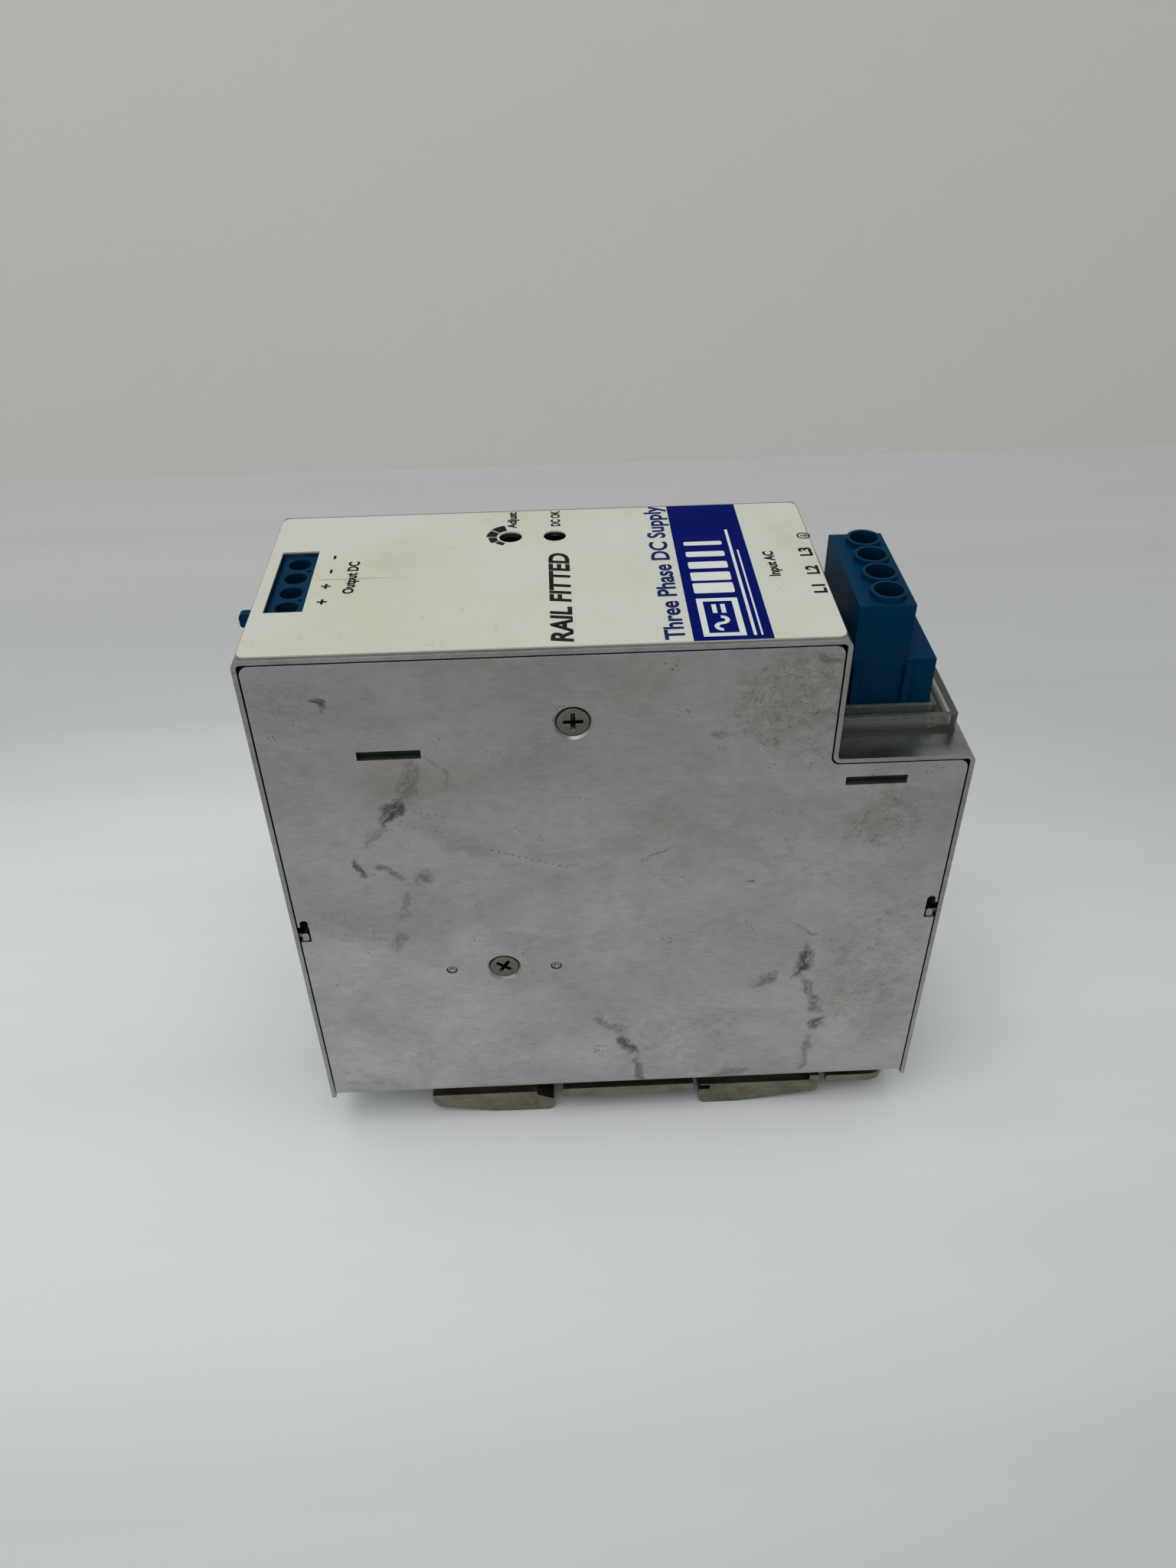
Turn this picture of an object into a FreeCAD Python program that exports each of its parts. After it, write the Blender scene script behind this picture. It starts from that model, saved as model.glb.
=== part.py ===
import FreeCAD, Part
import math
import os
from dataclasses import dataclass

# A three-phase power supply in a bent aluminium case that clips to a 35 mm rail.
#
# Everything is drawn in the case frame, in millimetres. X runs from the output end to the input
# end, Y from the near side panel to the far one, and Z from the back plate to the front face.
# write_parts() then moves it all to the part's own frame, whose origin is under the centre of the
# box around the whole part, at the level of the rail hooks.

Vec = FreeCAD.Vector

# ---------------------------------------------------------------- driving dimensions
CASE_LENGTH = 121.0         # X, over both end walls
CASE_WIDTH = 50.0           # Y, over both side panels
CASE_DEPTH = 108.0          # Z, back plate to front face
FRONT_LENGTH = 97.4         # X length of the front face, from the output end to the input notch
NOTCH_FLOOR = 84.5          # Z of the outer face of the notch floor

PART_GAP = 0.3              # between pieces that move past each other
RUN_GAP = 0.05              # radial clearance of a shaft in its hole
SEAT_GAP = 0.1              # between pieces that are fitted together and stay there

# Sheet metal
COVER_T = 0.8
COVER_BEND = 1.5            # outer radius of the cover's bends
CHASSIS_T = 1.6
CHASSIS_BEND = 2.2          # outer radius of the chassis bends
PANEL_CORNER = 1.6          # rounded corners of the side panels
SHEET_GAP = 0.3             # dark line between a side panel's edge and the cover
LABEL_T = 0.25
LABEL_MARGIN = 0.8          # bare metal left around the label

# Side panels
NOTCH_DEPTH = 2.0           # locking notch, measured in from the panel's edge
NOTCH_LOW = 46.3
NOTCH_HIGH = 51.0
NOTCH_LOBE_R = 0.8
TAB_T = 1.8                 # the cover's locking tabs, which sit in the notches
TAB_HEIGHT = 0.9
TAB_LIP = 1.2               # length of the lip at a locking tab's inner end
TAB_LIP_HEIGHT = 1.8
TAB_SUNK = 1.0              # their arms, below the cover's side walls
BOARD_TAB_SUNK = 1.3        # board tabs end this far below the side panels' faces
BOARD_TAB_LENGTH = 10.4     # board tabs that pass through slots in the side panels
BOARD_TAB_START = 17.2      # X of the output board's tab
INPUT_TAB_GAP = 2.0         # X from the notch wall to the input board's tab

# Screws
M3_R = 1.45
M3_HOLE_R = M3_R + RUN_GAP
CSK_HEAD_R = 2.7
CSK_SINK_R = 3.3
CSK_SUNK = 0.3              # head below the panel's face
CSK_CROSS = 1.2             # its cross recess, against a pan head's
SINK_SCREW_TURNS = (35, 0)  # the cross of the lower screw and of the upper one
PAN_HEAD_R = 2.8
PAN_HEAD_H = 1.8
CROSS_W = 0.65              # cross recess: width, length and depth
CROSS_L = 2.9
CROSS_D = 1.5
CROSS_TAPER = 0.45

# Circuit boards
BOARD_T = 1.6
BOARD_EDGE = 2.5            # free space between a board's edge and the case walls
MAIN_BOARD_SPACE = 3.4      # behind the main board, in front of the far panel
OUTPUT_BOARD_DROP = 19.95   # front face down to the underside of the output board
INPUT_BOARD_DROP = 5.5      # notch floor down to the underside of the input board
CONTROL_BOARD_DROP = 8.6    # front face down to the underside of the control board

# Openings in the front face
DIAL_X = 43.2
DIAL_SIDE = 11.2            # measured in from the far side
DIAL_HOLE_R = 2.1
LAMP_X = 51.2
LAMP_SIDE = 11.3
LAMP_HOLE_R = 2.05
WINDOW_X = 2.8              # window over the output screws
WINDOW_LENGTH = 6.5
WINDOW_EDGE = 0.15          # clearance around the output block in the window

# Output terminal block
OUTPUT_POLES = 4
OUTPUT_PITCH = 5.08
OUTPUT_SCREW_X = 6.1
OUTPUT_BLOCK_X = 1.6
OUTPUT_BLOCK_RECESS = 0.7   # below the front face
OUTPUT_LUG = 2.3            # the block's lug stands this far out of the end wall
LUG_T = 1.6
LUG_HEIGHT = 3.2
LUG_DROP = 5.1              # front face to the lug's underside

# Input terminal block, placed from the notch wall
INPUT_POLES = 4
INPUT_PITCH = 6.35
INPUT_BLOCK_OFFSET = 3.6    # notch wall to the block
INPUT_TALL_LENGTH = 9.5
INPUT_STEP_LENGTH = 5.0
INPUT_STEP_COVER = 2.2      # contact bar's underside to the top of the low step
INPUT_COLLAR_RISE = 1.1
INPUT_COLLAR_R = 3.05
INPUT_SCREW_OFFSET = 5.5    # from the block's tall end face to the screw row
INPUT_RIB = 1.0

# Clear guard around the input block
GUARD_WALL = 1.2
GUARD_FLOOR = 1.0
GUARD_RISE = 3.4
GUARD_SIDE = 6.8            # side panel's outer face to the guard's wall
GUARD_END = 1.6             # input end wall to the guard's wall
GUARD_COLLAR_WALL = 0.7

# Rail clip
RAIL_CENTRE = 62.2          # X of the middle of the 35 mm rail
RAIL_WIDTH = 35.0
RAIL_LIP_T = 1.0
RAIL_PLAY = 0.3
CLIP_DEPTH = 10.3           # back plate to the tips of the hooks
CLIP_SIDE = 1.2             # clip set in from the side panels
CLIP_BASE_T = 2.4
CLIP_SEAT_T = 2.2           # raised seat that the rail lies on
CLIP_BASE_INSET = 3.0
HOOK_SIDE = 2.4             # hooks set in from the side panels
HOOK_TOP = -4.2             # Z of the hooks' upper edges
HOOK_RISER_INSET = 2.0      # riser that joins a hook to its plate, set in from the hook
TONGUE_SIDE = 2.2
HOOK_LENGTH = 26.0
HOOK_GRIP = 1.8             # how far each hook reaches over the rail's edge
LATCH_LENGTH = 25.8
LATCH_PLATE_T = 2.0
LATCH_TRAVEL = 4.5
TONGUE_LENGTH = 13.0
SPRING_R = 2.0
SPRING_WIRE_R = 0.25
SPRING_LENGTH = 15.4
SPRING_TURNS = 8
SPRING_SIDE = 12.0          # springs, measured in from the side panels

# Heat sinks
SINK_LENGTH = 26.0
SINK_T = 6.0
SINK_PAD_T = 0.3
PEG_R = 0.85
PEG_GAP = 0.2
PEG_SUNK = 0.15
PEG_SPACING = 20.0
PRIMARY_SINK_X = 38.4
PRIMARY_SINK_Z = 37.3
SECONDARY_SINK_X = 53.0
SECONDARY_SINK_DROP = 14.0  # front face down to the screw

# Adjusting dial
DIAL_BODY = 7.0
DIAL_BODY_H = 3.4
DIAL_ROTOR_R = 1.85
DIAL_ROTOR_H = 1.1
DIAL_STEM_R = 1.2

# ---------------------------------------------------------------- derived places
CENTRE_X = CASE_LENGTH / 2
CENTRE_Y = CASE_WIDTH / 2
DIAL_Y = CASE_WIDTH - DIAL_SIDE
LAMP_Y = CASE_WIDTH - LAMP_SIDE
PANEL_X0 = COVER_T + SHEET_GAP
PANEL_X1 = CASE_LENGTH - COVER_T - SHEET_GAP
PANEL_STEP_X = FRONT_LENGTH - COVER_T - SHEET_GAP
PANEL_TOP = CASE_DEPTH - COVER_T - SHEET_GAP
PANEL_STEP_Z = NOTCH_FLOOR - COVER_T - SHEET_GAP
MAIN_BOARD_Y = CASE_WIDTH - CHASSIS_T - MAIN_BOARD_SPACE - BOARD_T
OUTPUT_BOARD_Z = CASE_DEPTH - OUTPUT_BOARD_DROP
INPUT_BOARD_Z = NOTCH_FLOOR - INPUT_BOARD_DROP
CONTROL_BOARD_Z = CASE_DEPTH - CONTROL_BOARD_DROP
SECONDARY_SINK_Z = CASE_DEPTH - SECONDARY_SINK_DROP
INPUT_TAB_START = FRONT_LENGTH + INPUT_TAB_GAP
INPUT_BLOCK_X = FRONT_LENGTH + INPUT_BLOCK_OFFSET
INPUT_STEP_X = INPUT_BLOCK_X + INPUT_TALL_LENGTH
INPUT_END_X = INPUT_STEP_X + INPUT_STEP_LENGTH
INPUT_SCREW_X = INPUT_BLOCK_X + INPUT_SCREW_OFFSET
INPUT_BLOCK_TOP = CASE_DEPTH - INPUT_COLLAR_RISE
CLIP_SEAT_Z = -CLIP_BASE_T - CLIP_SEAT_T
RAIL_X0 = RAIL_CENTRE - RAIL_WIDTH / 2
RAIL_X1 = RAIL_CENTRE + RAIL_WIDTH / 2
ORIGIN_SHIFT = Vec(-(CASE_LENGTH - OUTPUT_LUG) / 2, -CENTRE_Y, CLIP_DEPTH)

parts = {}


# ---------------------------------------------------------------- drawing helpers
def box(x0, x1, y0, y1, z0, z1):
    """A block between two corners."""
    return Part.makeBox(x1 - x0, y1 - y0, z1 - z0, Vec(x0, y0, z0))


def rod(centre, radius, length, axis="z"):
    """A cylinder that starts at centre and runs along +axis."""
    ways = {"x": Vec(1, 0, 0), "y": Vec(0, 1, 0), "z": Vec(0, 0, 1)}
    return Part.makeCylinder(radius, length, Vec(*centre), ways[axis])


def union(shapes):
    """One solid from several that touch."""
    first, *rest = shapes
    return first.multiFuse(rest).removeSplitter() if rest else first


def cut(shape, tools):
    """A shape with every tool taken out of it."""
    tools = list(tools)
    return shape.cut(Part.makeCompound(tools)) if tools else shape


def rounded_outline(points):
    """A closed wire through (u, v, radius) points, with an arc of that radius at each corner."""
    count = len(points)
    ends = []
    for index, (u, v, radius) in enumerate(points):
        corner = Vec(u, v, 0)
        before = Vec(*points[index - 1][:2], 0)
        after = Vec(*points[(index + 1) % count][:2], 0)
        back = (before - corner).normalize()
        ahead = (after - corner).normalize()
        if radius <= 0:
            ends.append((corner, None, corner))
            continue
        half = back.getAngle(ahead) / 2
        reach = radius / math.tan(half)
        middle = (back + ahead).normalize() * (radius / math.sin(half) - radius)
        ends.append((corner + back * reach, corner + middle, corner + ahead * reach))
    edges = []
    for index, (start, middle, end) in enumerate(ends):
        if middle is not None:
            edges.append(Part.Arc(start, middle, end).toShape())
        following = ends[(index + 1) % count][0]
        if end.distanceToPoint(following) > 1e-6:
            edges.append(Part.LineSegment(end, following).toShape())
    return Part.Wire(edges)


def plate_xy(points, z0, z1):
    """A plate whose outline lies in the XY plane."""
    solid = Part.Face(rounded_outline(points)).extrude(Vec(0, 0, z1 - z0))
    return solid.translated(Vec(0, 0, z0))


def plate_xz(points, y0, y1):
    """A plate whose outline, given as (x, z, radius), lies in the XZ plane."""
    solid = Part.Face(rounded_outline(points)).extrude(Vec(0, 0, y1 - y0))
    solid.rotate(Vec(0, 0, 0), Vec(1, 0, 0), 90)
    return solid.translated(Vec(0, y1, 0))


def plate_yz(points, x0, x1):
    """A plate whose outline, given as (y, z, radius), lies in the YZ plane."""
    solid = Part.Face(rounded_outline(points)).extrude(Vec(0, 0, x1 - x0))
    solid.rotate(Vec(0, 0, 0), Vec(1, 1, 1), 120)
    return solid.translated(Vec(x0, 0, 0))


def cross_recess(centre, axis="z", size=1.0, turn=0):
    """Two crossed, tapering slots to cut into a screw head, down into it or along Y, then turned."""
    long, wide, deep = CROSS_L * size / 2, CROSS_W * size / 2, CROSS_D * size
    small = CROSS_TAPER
    slots = []
    for a, b in ((long, wide), (wide, long)):
        slot = Part.makeWedge(-a, 0, -b, -b * small, -a * small, a, deep, b, b * small, a * small)
        slot.rotate(Vec(0, 0, 0), Vec(0, 1, 0), turn)
        if axis == "z":
            slot.rotate(Vec(0, 0, 0), Vec(1, 0, 0), -90)
        slots.append(slot.translated(Vec(*centre)))
    return slots


def mirrored_y(shape):
    """The same shape on the other side of the case."""
    return shape.mirror(Vec(0, CENTRE_Y, 0), Vec(0, 1, 0))


def both_sides(shape):
    """A shape and its mirror image across the case."""
    return [shape, mirrored_y(shape)]


def add(name, *solids):
    """Files solids under a node's name."""
    parts.setdefault(name, []).extend(solids)


# ---------------------------------------------------------------- case
def panel_outline(grow=0.0):
    """The outline shared by both side panels, as (x, z, radius) points."""
    return [
        (PANEL_X0 - grow, 0, 0), (PANEL_X1 + grow, 0, 0),
        (PANEL_X1 + grow, PANEL_STEP_Z + grow, PANEL_CORNER),
        (PANEL_STEP_X + grow, PANEL_STEP_Z + grow, PANEL_CORNER),
        (PANEL_STEP_X + grow, PANEL_TOP + grow, PANEL_CORNER),
        (PANEL_X0 - grow, PANEL_TOP + grow, PANEL_CORNER),
    ]


def vent_slots(x0, x1, rows):
    """Rounded air slots through an end wall, in rows given as (low z, high z)."""
    slot_width, slot_pitch, slot_count = 2.4, 4.8, 8
    first = CENTRE_Y - slot_pitch * (slot_count - 1) / 2
    slots = []
    for low, high in rows:
        for index in range(slot_count):
            y = first + index * slot_pitch
            half = slot_width / 2
            corners = [(y - half, low, half * 0.98), (y + half, low, half * 0.98),
                       (y + half, high, half * 0.98), (y - half, high, half * 0.98)]
            slots.append(plate_yz(corners, x0, x1))
    return slots


def guard_opening(grow=0.0):
    """The hole in the notch floor that the input block passes through."""
    side = INPUT_BLOCK_HALF + INPUT_RIB + 1.0
    return box(INPUT_BLOCK_X - 1.0 - grow, INPUT_END_X + 0.8 + grow,
               CENTRE_Y - side - grow, CENTRE_Y + side + grow,
               NOTCH_FLOOR - 3 * COVER_T, NOTCH_FLOOR + 1)


def make_cover():
    """The bent sheet that makes the end walls, the front face and the input notch."""
    inner_bend = COVER_BEND - COVER_T
    length, depth, t = CASE_LENGTH, CASE_DEPTH, COVER_T
    outline = [
        (0, 0, 0), (0, depth, COVER_BEND), (FRONT_LENGTH, depth, COVER_BEND),
        (FRONT_LENGTH, NOTCH_FLOOR, inner_bend), (length, NOTCH_FLOOR, COVER_BEND),
        (length, 0, 0), (length - t, 0, 0), (length - t, NOTCH_FLOOR - t, inner_bend),
        (FRONT_LENGTH - t, NOTCH_FLOOR - t, COVER_BEND),
        (FRONT_LENGTH - t, depth - t, inner_bend), (t, depth - t, inner_bend), (t, 0, 0),
    ]
    sheet = plate_xz(outline, 0, CASE_WIDTH)
    window_half = OUTPUT_BLOCK_HALF + WINDOW_EDGE
    window = [(WINDOW_X, CENTRE_Y - window_half, 0.5),
              (WINDOW_X + WINDOW_LENGTH, CENTRE_Y - window_half, 0.5),
              (WINDOW_X + WINDOW_LENGTH, CENTRE_Y + window_half, 0.5),
              (WINDOW_X, CENTRE_Y + window_half, 0.5)]
    openings = [
        plate_xy(window, depth - 2 * t, depth + 1),
        rod((DIAL_X, DIAL_Y, depth - 2 * t), DIAL_HOLE_R, 4 * t),
        rod((LAMP_X, LAMP_Y, depth - 2 * t), LAMP_HOLE_R, 4 * t),
        box(-1, t + 0.1, CENTRE_Y - window_half, CENTRE_Y + window_half,
            OUTPUT_BOARD_Z + BOARD_T + 1.0, CASE_DEPTH - 1.7),
        guard_opening(PART_GAP),
    ]
    output_rows = [(8, 26), (30, 44), (54, 72)]
    input_rows = [(8, 26), (30, 44), (54, 72)]
    openings += vent_slots(-1, 2 * t, output_rows)
    openings += vent_slots(length - 2 * t, length + 1, input_rows)
    sheet = cut(sheet, openings)
    reach = NOTCH_DEPTH + SHEET_GAP - 0.4
    tabs = []
    for x0, x1 in ((t - 0.2, t + reach), (length - t - reach, length - t + 0.2)):
        low = NOTCH_LOW + 0.2
        arm = box(x0, x1, 0.2 + TAB_SUNK, 0.2 + TAB_T, low, low + TAB_HEIGHT)
        lip_x = x1 - TAB_LIP if x0 < CENTRE_X else x0
        corner = TAB_LIP / 3
        lip = plate_xz([(lip_x, low, corner), (lip_x, low + TAB_LIP_HEIGHT, corner),
                        (lip_x + TAB_LIP, low + TAB_LIP_HEIGHT, corner),
                        (lip_x + TAB_LIP, low, corner)], 0.2, 0.2 + TAB_T)
        tabs += both_sides(union([arm, lip]))
    add("cover", union([sheet] + tabs))


def locking_notches():
    """Cutters for the notches in the panels' end edges, each with a round lobe at its inner top."""
    cutters = []
    for edge, way in ((PANEL_X0, 1), (PANEL_X1, -1)):
        inner = edge + way * NOTCH_DEPTH
        x0, x1 = sorted((edge - way, inner))
        lobe_x = inner - way * NOTCH_LOBE_R
        shape = union([
            box(x0, x1, -1, CHASSIS_T + 1, NOTCH_LOW, NOTCH_HIGH - NOTCH_LOBE_R),
            rod((lobe_x, -1, NOTCH_HIGH), NOTCH_LOBE_R, CHASSIS_T + 2, "y"),
            box(lobe_x - NOTCH_LOBE_R, lobe_x + NOTCH_LOBE_R, -1, CHASSIS_T + 1,
                NOTCH_LOW, NOTCH_HIGH),
        ])
        cutters += both_sides(shape)
    return cutters


def board_slots():
    """Cutters for the slots that the output and input boards' tabs pass through."""
    cutters = []
    for x0, z0 in ((BOARD_TAB_START, OUTPUT_BOARD_Z), (INPUT_TAB_START, INPUT_BOARD_Z)):
        slot = box(x0 - SEAT_GAP, x0 + BOARD_TAB_LENGTH + SEAT_GAP, -1, CHASSIS_T + 1,
                   z0 - SEAT_GAP, z0 + BOARD_T + SEAT_GAP)
        cutters += both_sides(slot)
    return cutters


SINK_PLACES = ((PRIMARY_SINK_X, PRIMARY_SINK_Z), (SECONDARY_SINK_X, SECONDARY_SINK_Z))
PEG_PLACES = tuple((PRIMARY_SINK_X + way * PEG_SPACING / 2, PRIMARY_SINK_Z) for way in (-1, 1))


def make_chassis():
    """The U of near panel, back plate and far panel that everything is fastened to."""
    inner_bend = CHASSIS_BEND - CHASSIS_T
    width, t = CASE_WIDTH, CHASSIS_T
    section = [
        (0, CASE_DEPTH, 0), (0, 0, CHASSIS_BEND), (width, 0, CHASSIS_BEND),
        (width, CASE_DEPTH, 0), (width - t, CASE_DEPTH, 0), (width - t, t, inner_bend),
        (t, t, inner_bend), (t, CASE_DEPTH, 0),
    ]
    channel = plate_yz(section, PANEL_X0, PANEL_X1)
    shape = channel.common(plate_xz(panel_outline(), -1, width + 1))
    cutters = locking_notches() + board_slots()
    for x, z in SINK_PLACES:
        cutters.append(rod((x, -1, z), M3_HOLE_R, t + 2, "y"))
        cutters.append(Part.makeCone(CSK_SINK_R, M3_HOLE_R, CSK_SINK_R - M3_HOLE_R,
                                     Vec(x, 0, z), Vec(0, 1, 0)))
    for x, z in PEG_PLACES:
        cutters.append(rod((x, -1, z), PEG_R + PEG_GAP, t + 2, "y"))
    cutters += [rod((x, y, -1), M3_HOLE_R, t + 2) for x, y in BRACKET_SCREWS]
    cutters += [rod((x, y, -1), M3_HOLE_R, t + 2) for x, y in GUIDE_SCREWS]
    add("chassis", cut(shape, cutters))


def make_label():
    """The printed overlay on the front face, open over the window and the two holes."""
    m = LABEL_MARGIN
    outline = [(m, m, 1.5), (FRONT_LENGTH - m, m, 1.5),
               (FRONT_LENGTH - m, CASE_WIDTH - m, 1.5), (m, CASE_WIDTH - m, 1.5)]
    label = plate_xy(outline, CASE_DEPTH, CASE_DEPTH + LABEL_T)
    half = OUTPUT_BLOCK_HALF + WINDOW_EDGE
    holes = [
        box(WINDOW_X, WINDOW_X + WINDOW_LENGTH, CENTRE_Y - half, CENTRE_Y + half,
            CASE_DEPTH - 1, CASE_DEPTH + 1),
        rod((DIAL_X, DIAL_Y, CASE_DEPTH - 1), DIAL_HOLE_R, 2),
        rod((LAMP_X, LAMP_Y, CASE_DEPTH - 1), LAMP_HOLE_R, 2),
    ]
    add("front_label", cut(label, holes))


# ---------------------------------------------------------------- screw terminals
@dataclass(frozen=True)
class Terminal:
    """One row of rising-cage screw terminals; top is where the screw holes open."""

    prefix: str
    poles: int
    pitch: float
    screw_x: float
    entry_x: float          # X of the face that the wires enter
    top: float
    board_z: float          # underside of the board that the contacts are soldered to
    screw_r: float
    head_r: float
    head_h: float
    head_recess: float
    access_r: float
    ledge: float            # thickness of the ledge under the screw head
    roof: float             # thickness of the cage's threaded roof
    floor: float
    wall: float
    travel: float
    wire_gap: float         # cage floor to contact bar with the cage right down
    bar_t: float
    bar_half: float
    cage_half: float        # half the cage's length along X
    leg_reach: float        # screw axis to the contact's leg

    HEAD_GAP = 0.2          # under the screw's head
    TIP_GAP = 0.2           # between the screw's tip and the contact bar
    MOUTH = 0.6             # depth and flare of the funnel at the wire entry

    @property
    def way(self):
        """+1 where the wires enter from +X, -1 where they enter from -X."""
        return 1 if self.entry_x > self.screw_x else -1

    @property
    def head_z(self):
        return self.top - self.head_recess - self.head_h

    @property
    def cavity_top(self):
        return self.head_z - self.HEAD_GAP - self.ledge

    @property
    def roof_z(self):
        return self.cavity_top - PART_GAP - self.travel - self.roof

    @property
    def bar_z(self):
        return self.roof_z - PART_GAP - self.bar_t

    @property
    def floor_z(self):
        return self.bar_z - self.wire_gap

    @property
    def wire_z(self):
        return self.bar_z - self.wire_gap / 2

    @property
    def wire_r(self):
        return self.wire_gap / 2

    @property
    def cavity_half(self):
        return self.cage_half + PART_GAP

    def pole_ys(self):
        """The Y of each pole, near side first."""
        first = CENTRE_Y - self.pitch * (self.poles - 1) / 2
        return [first + self.pitch * index for index in range(self.poles)]

    def along(self, u0, u1, y0, y1, z0, z1):
        """A block whose X is measured from the screw axis, positive towards the wire entry."""
        x0, x1 = sorted((self.screw_x + self.way * u0, self.screw_x + self.way * u1))
        return box(x0, x1, y0, y1, z0, z1)

    def cutters(self, y):
        """What one pole takes out of the housing."""
        cavity_y = self.bar_half + 2 * PART_GAP + self.wall
        slot_y = self.bar_half + SEAT_GAP
        leg_end = self.leg_reach + self.bar_t + SEAT_GAP
        floor_bottom = self.floor_z - self.floor
        tools = [
            self.along(-self.cavity_half, self.cavity_half, y - cavity_y, y + cavity_y,
                       floor_bottom - PART_GAP, self.cavity_top),
            rod((self.screw_x, y, self.cavity_top - 1), self.screw_r + PART_GAP,
                self.ledge + 2),
            rod((self.screw_x, y, self.head_z - self.HEAD_GAP), self.access_r,
                self.head_h + self.head_recess + 2),
            self.along(-leg_end, self.cavity_half + 0.5, y - slot_y, y + slot_y,
                       self.bar_z - SEAT_GAP, self.bar_z + self.bar_t + SEAT_GAP),
            self.along(-leg_end, SEAT_GAP - self.leg_reach, y - slot_y, y + slot_y,
                       self.board_z, self.bar_z + SEAT_GAP),
        ]
        start, end = sorted((self.screw_x, self.entry_x + self.way))
        tools.append(rod((start, y, self.wire_z), self.wire_r, end - start, "x"))
        mouth = Part.makeCone(self.wire_r + self.MOUTH, self.wire_r, self.MOUTH,
                              Vec(self.entry_x, y, self.wire_z), Vec(-self.way, 0, 0))
        return tools + [mouth]

    def screw(self, y):
        """One clamping screw with a cross and slot in its head."""
        tip = self.bar_z + self.bar_t + self.TIP_GAP
        head_top = self.head_z + self.head_h
        shape = union([rod((self.screw_x, y, tip), self.screw_r, self.head_z - tip + 0.1),
                       rod((self.screw_x, y, self.head_z), self.head_r, self.head_h)])
        size = self.head_r / CSK_HEAD_R
        long = self.head_r + 1
        slot = box(self.screw_x - long, self.screw_x + long, y - 0.35, y + 0.35,
                   head_top - 0.7, head_top + 1)
        return cut(shape, cross_recess((self.screw_x, y, head_top), "z", size) + [slot])

    def cage(self, y):
        """One clamping cage: a square tube with a threaded roof."""
        inner = self.bar_half + PART_GAP
        outer = inner + self.wall
        body = self.along(-self.cage_half, self.cage_half, y - outer, y + outer,
                          self.floor_z - self.floor, self.roof_z + self.roof)
        hollow = self.along(-self.cage_half - 1, self.cage_half + 1, y - inner, y + inner,
                            self.floor_z, self.roof_z)
        thread = rod((self.screw_x, y, self.roof_z - 1), self.screw_r + RUN_GAP, self.roof + 2)
        return cut(body, [hollow, thread])

    def contact(self, y):
        """The fixed bar inside the cage, with its leg down through the board."""
        bar = self.along(-self.leg_reach - self.bar_t, self.cavity_half + 0.4,
                         y - self.bar_half, y + self.bar_half,
                         self.bar_z, self.bar_z + self.bar_t)
        leg = self.along(-self.leg_reach - self.bar_t, -self.leg_reach, y - 0.6, y + 0.6,
                         self.board_z - 1.2, self.bar_z)
        return union([bar, leg])

    def board_holes(self):
        """Cutters for the legs' holes in the board."""
        g = SEAT_GAP
        return [self.along(-self.leg_reach - self.bar_t - g, g - self.leg_reach,
                           y - 0.6 - g, y + 0.6 + g, self.board_z - 1, self.board_z + BOARD_T + 1)
                for y in self.pole_ys()]

    def add_all(self):
        """Adds screws and cages as a node each, and the contacts as one node."""
        for number, y in enumerate(self.pole_ys(), 1):
            add(f"{self.prefix}_screw_{number}", self.screw(y))
            add(f"{self.prefix}_cage_{number}", self.cage(y))
            add(f"{self.prefix}_contacts", self.contact(y))


OUTPUT_BLOCK_HALF = OUTPUT_PITCH * OUTPUT_POLES / 2 + 0.4
INPUT_BLOCK_HALF = INPUT_PITCH * INPUT_POLES / 2 + 0.4

OUTPUT_TERMINAL = Terminal(
    prefix="output", poles=OUTPUT_POLES, pitch=OUTPUT_PITCH, screw_x=OUTPUT_SCREW_X,
    entry_x=OUTPUT_BLOCK_X, top=CASE_DEPTH - OUTPUT_BLOCK_RECESS, board_z=OUTPUT_BOARD_Z,
    screw_r=1.25, head_r=1.75, head_h=1.6, head_recess=2.3, access_r=1.95, ledge=0.8,
    roof=1.4, floor=0.8, wall=0.4, travel=2.4, wire_gap=2.8, bar_t=1.0, bar_half=1.2,
    cage_half=2.4, leg_reach=3.6)
INPUT_TERMINAL = Terminal(
    prefix="input", poles=INPUT_POLES, pitch=INPUT_PITCH, screw_x=INPUT_SCREW_X,
    entry_x=INPUT_END_X, top=CASE_DEPTH, board_z=INPUT_BOARD_Z,
    screw_r=1.5, head_r=2.25, head_h=2.0, head_recess=3.6, access_r=2.5, ledge=1.0,
    roof=1.8, floor=1.0, wall=0.5, travel=3.6, wire_gap=4.2, bar_t=1.1, bar_half=1.7,
    cage_half=2.8, leg_reach=3.5)


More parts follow.
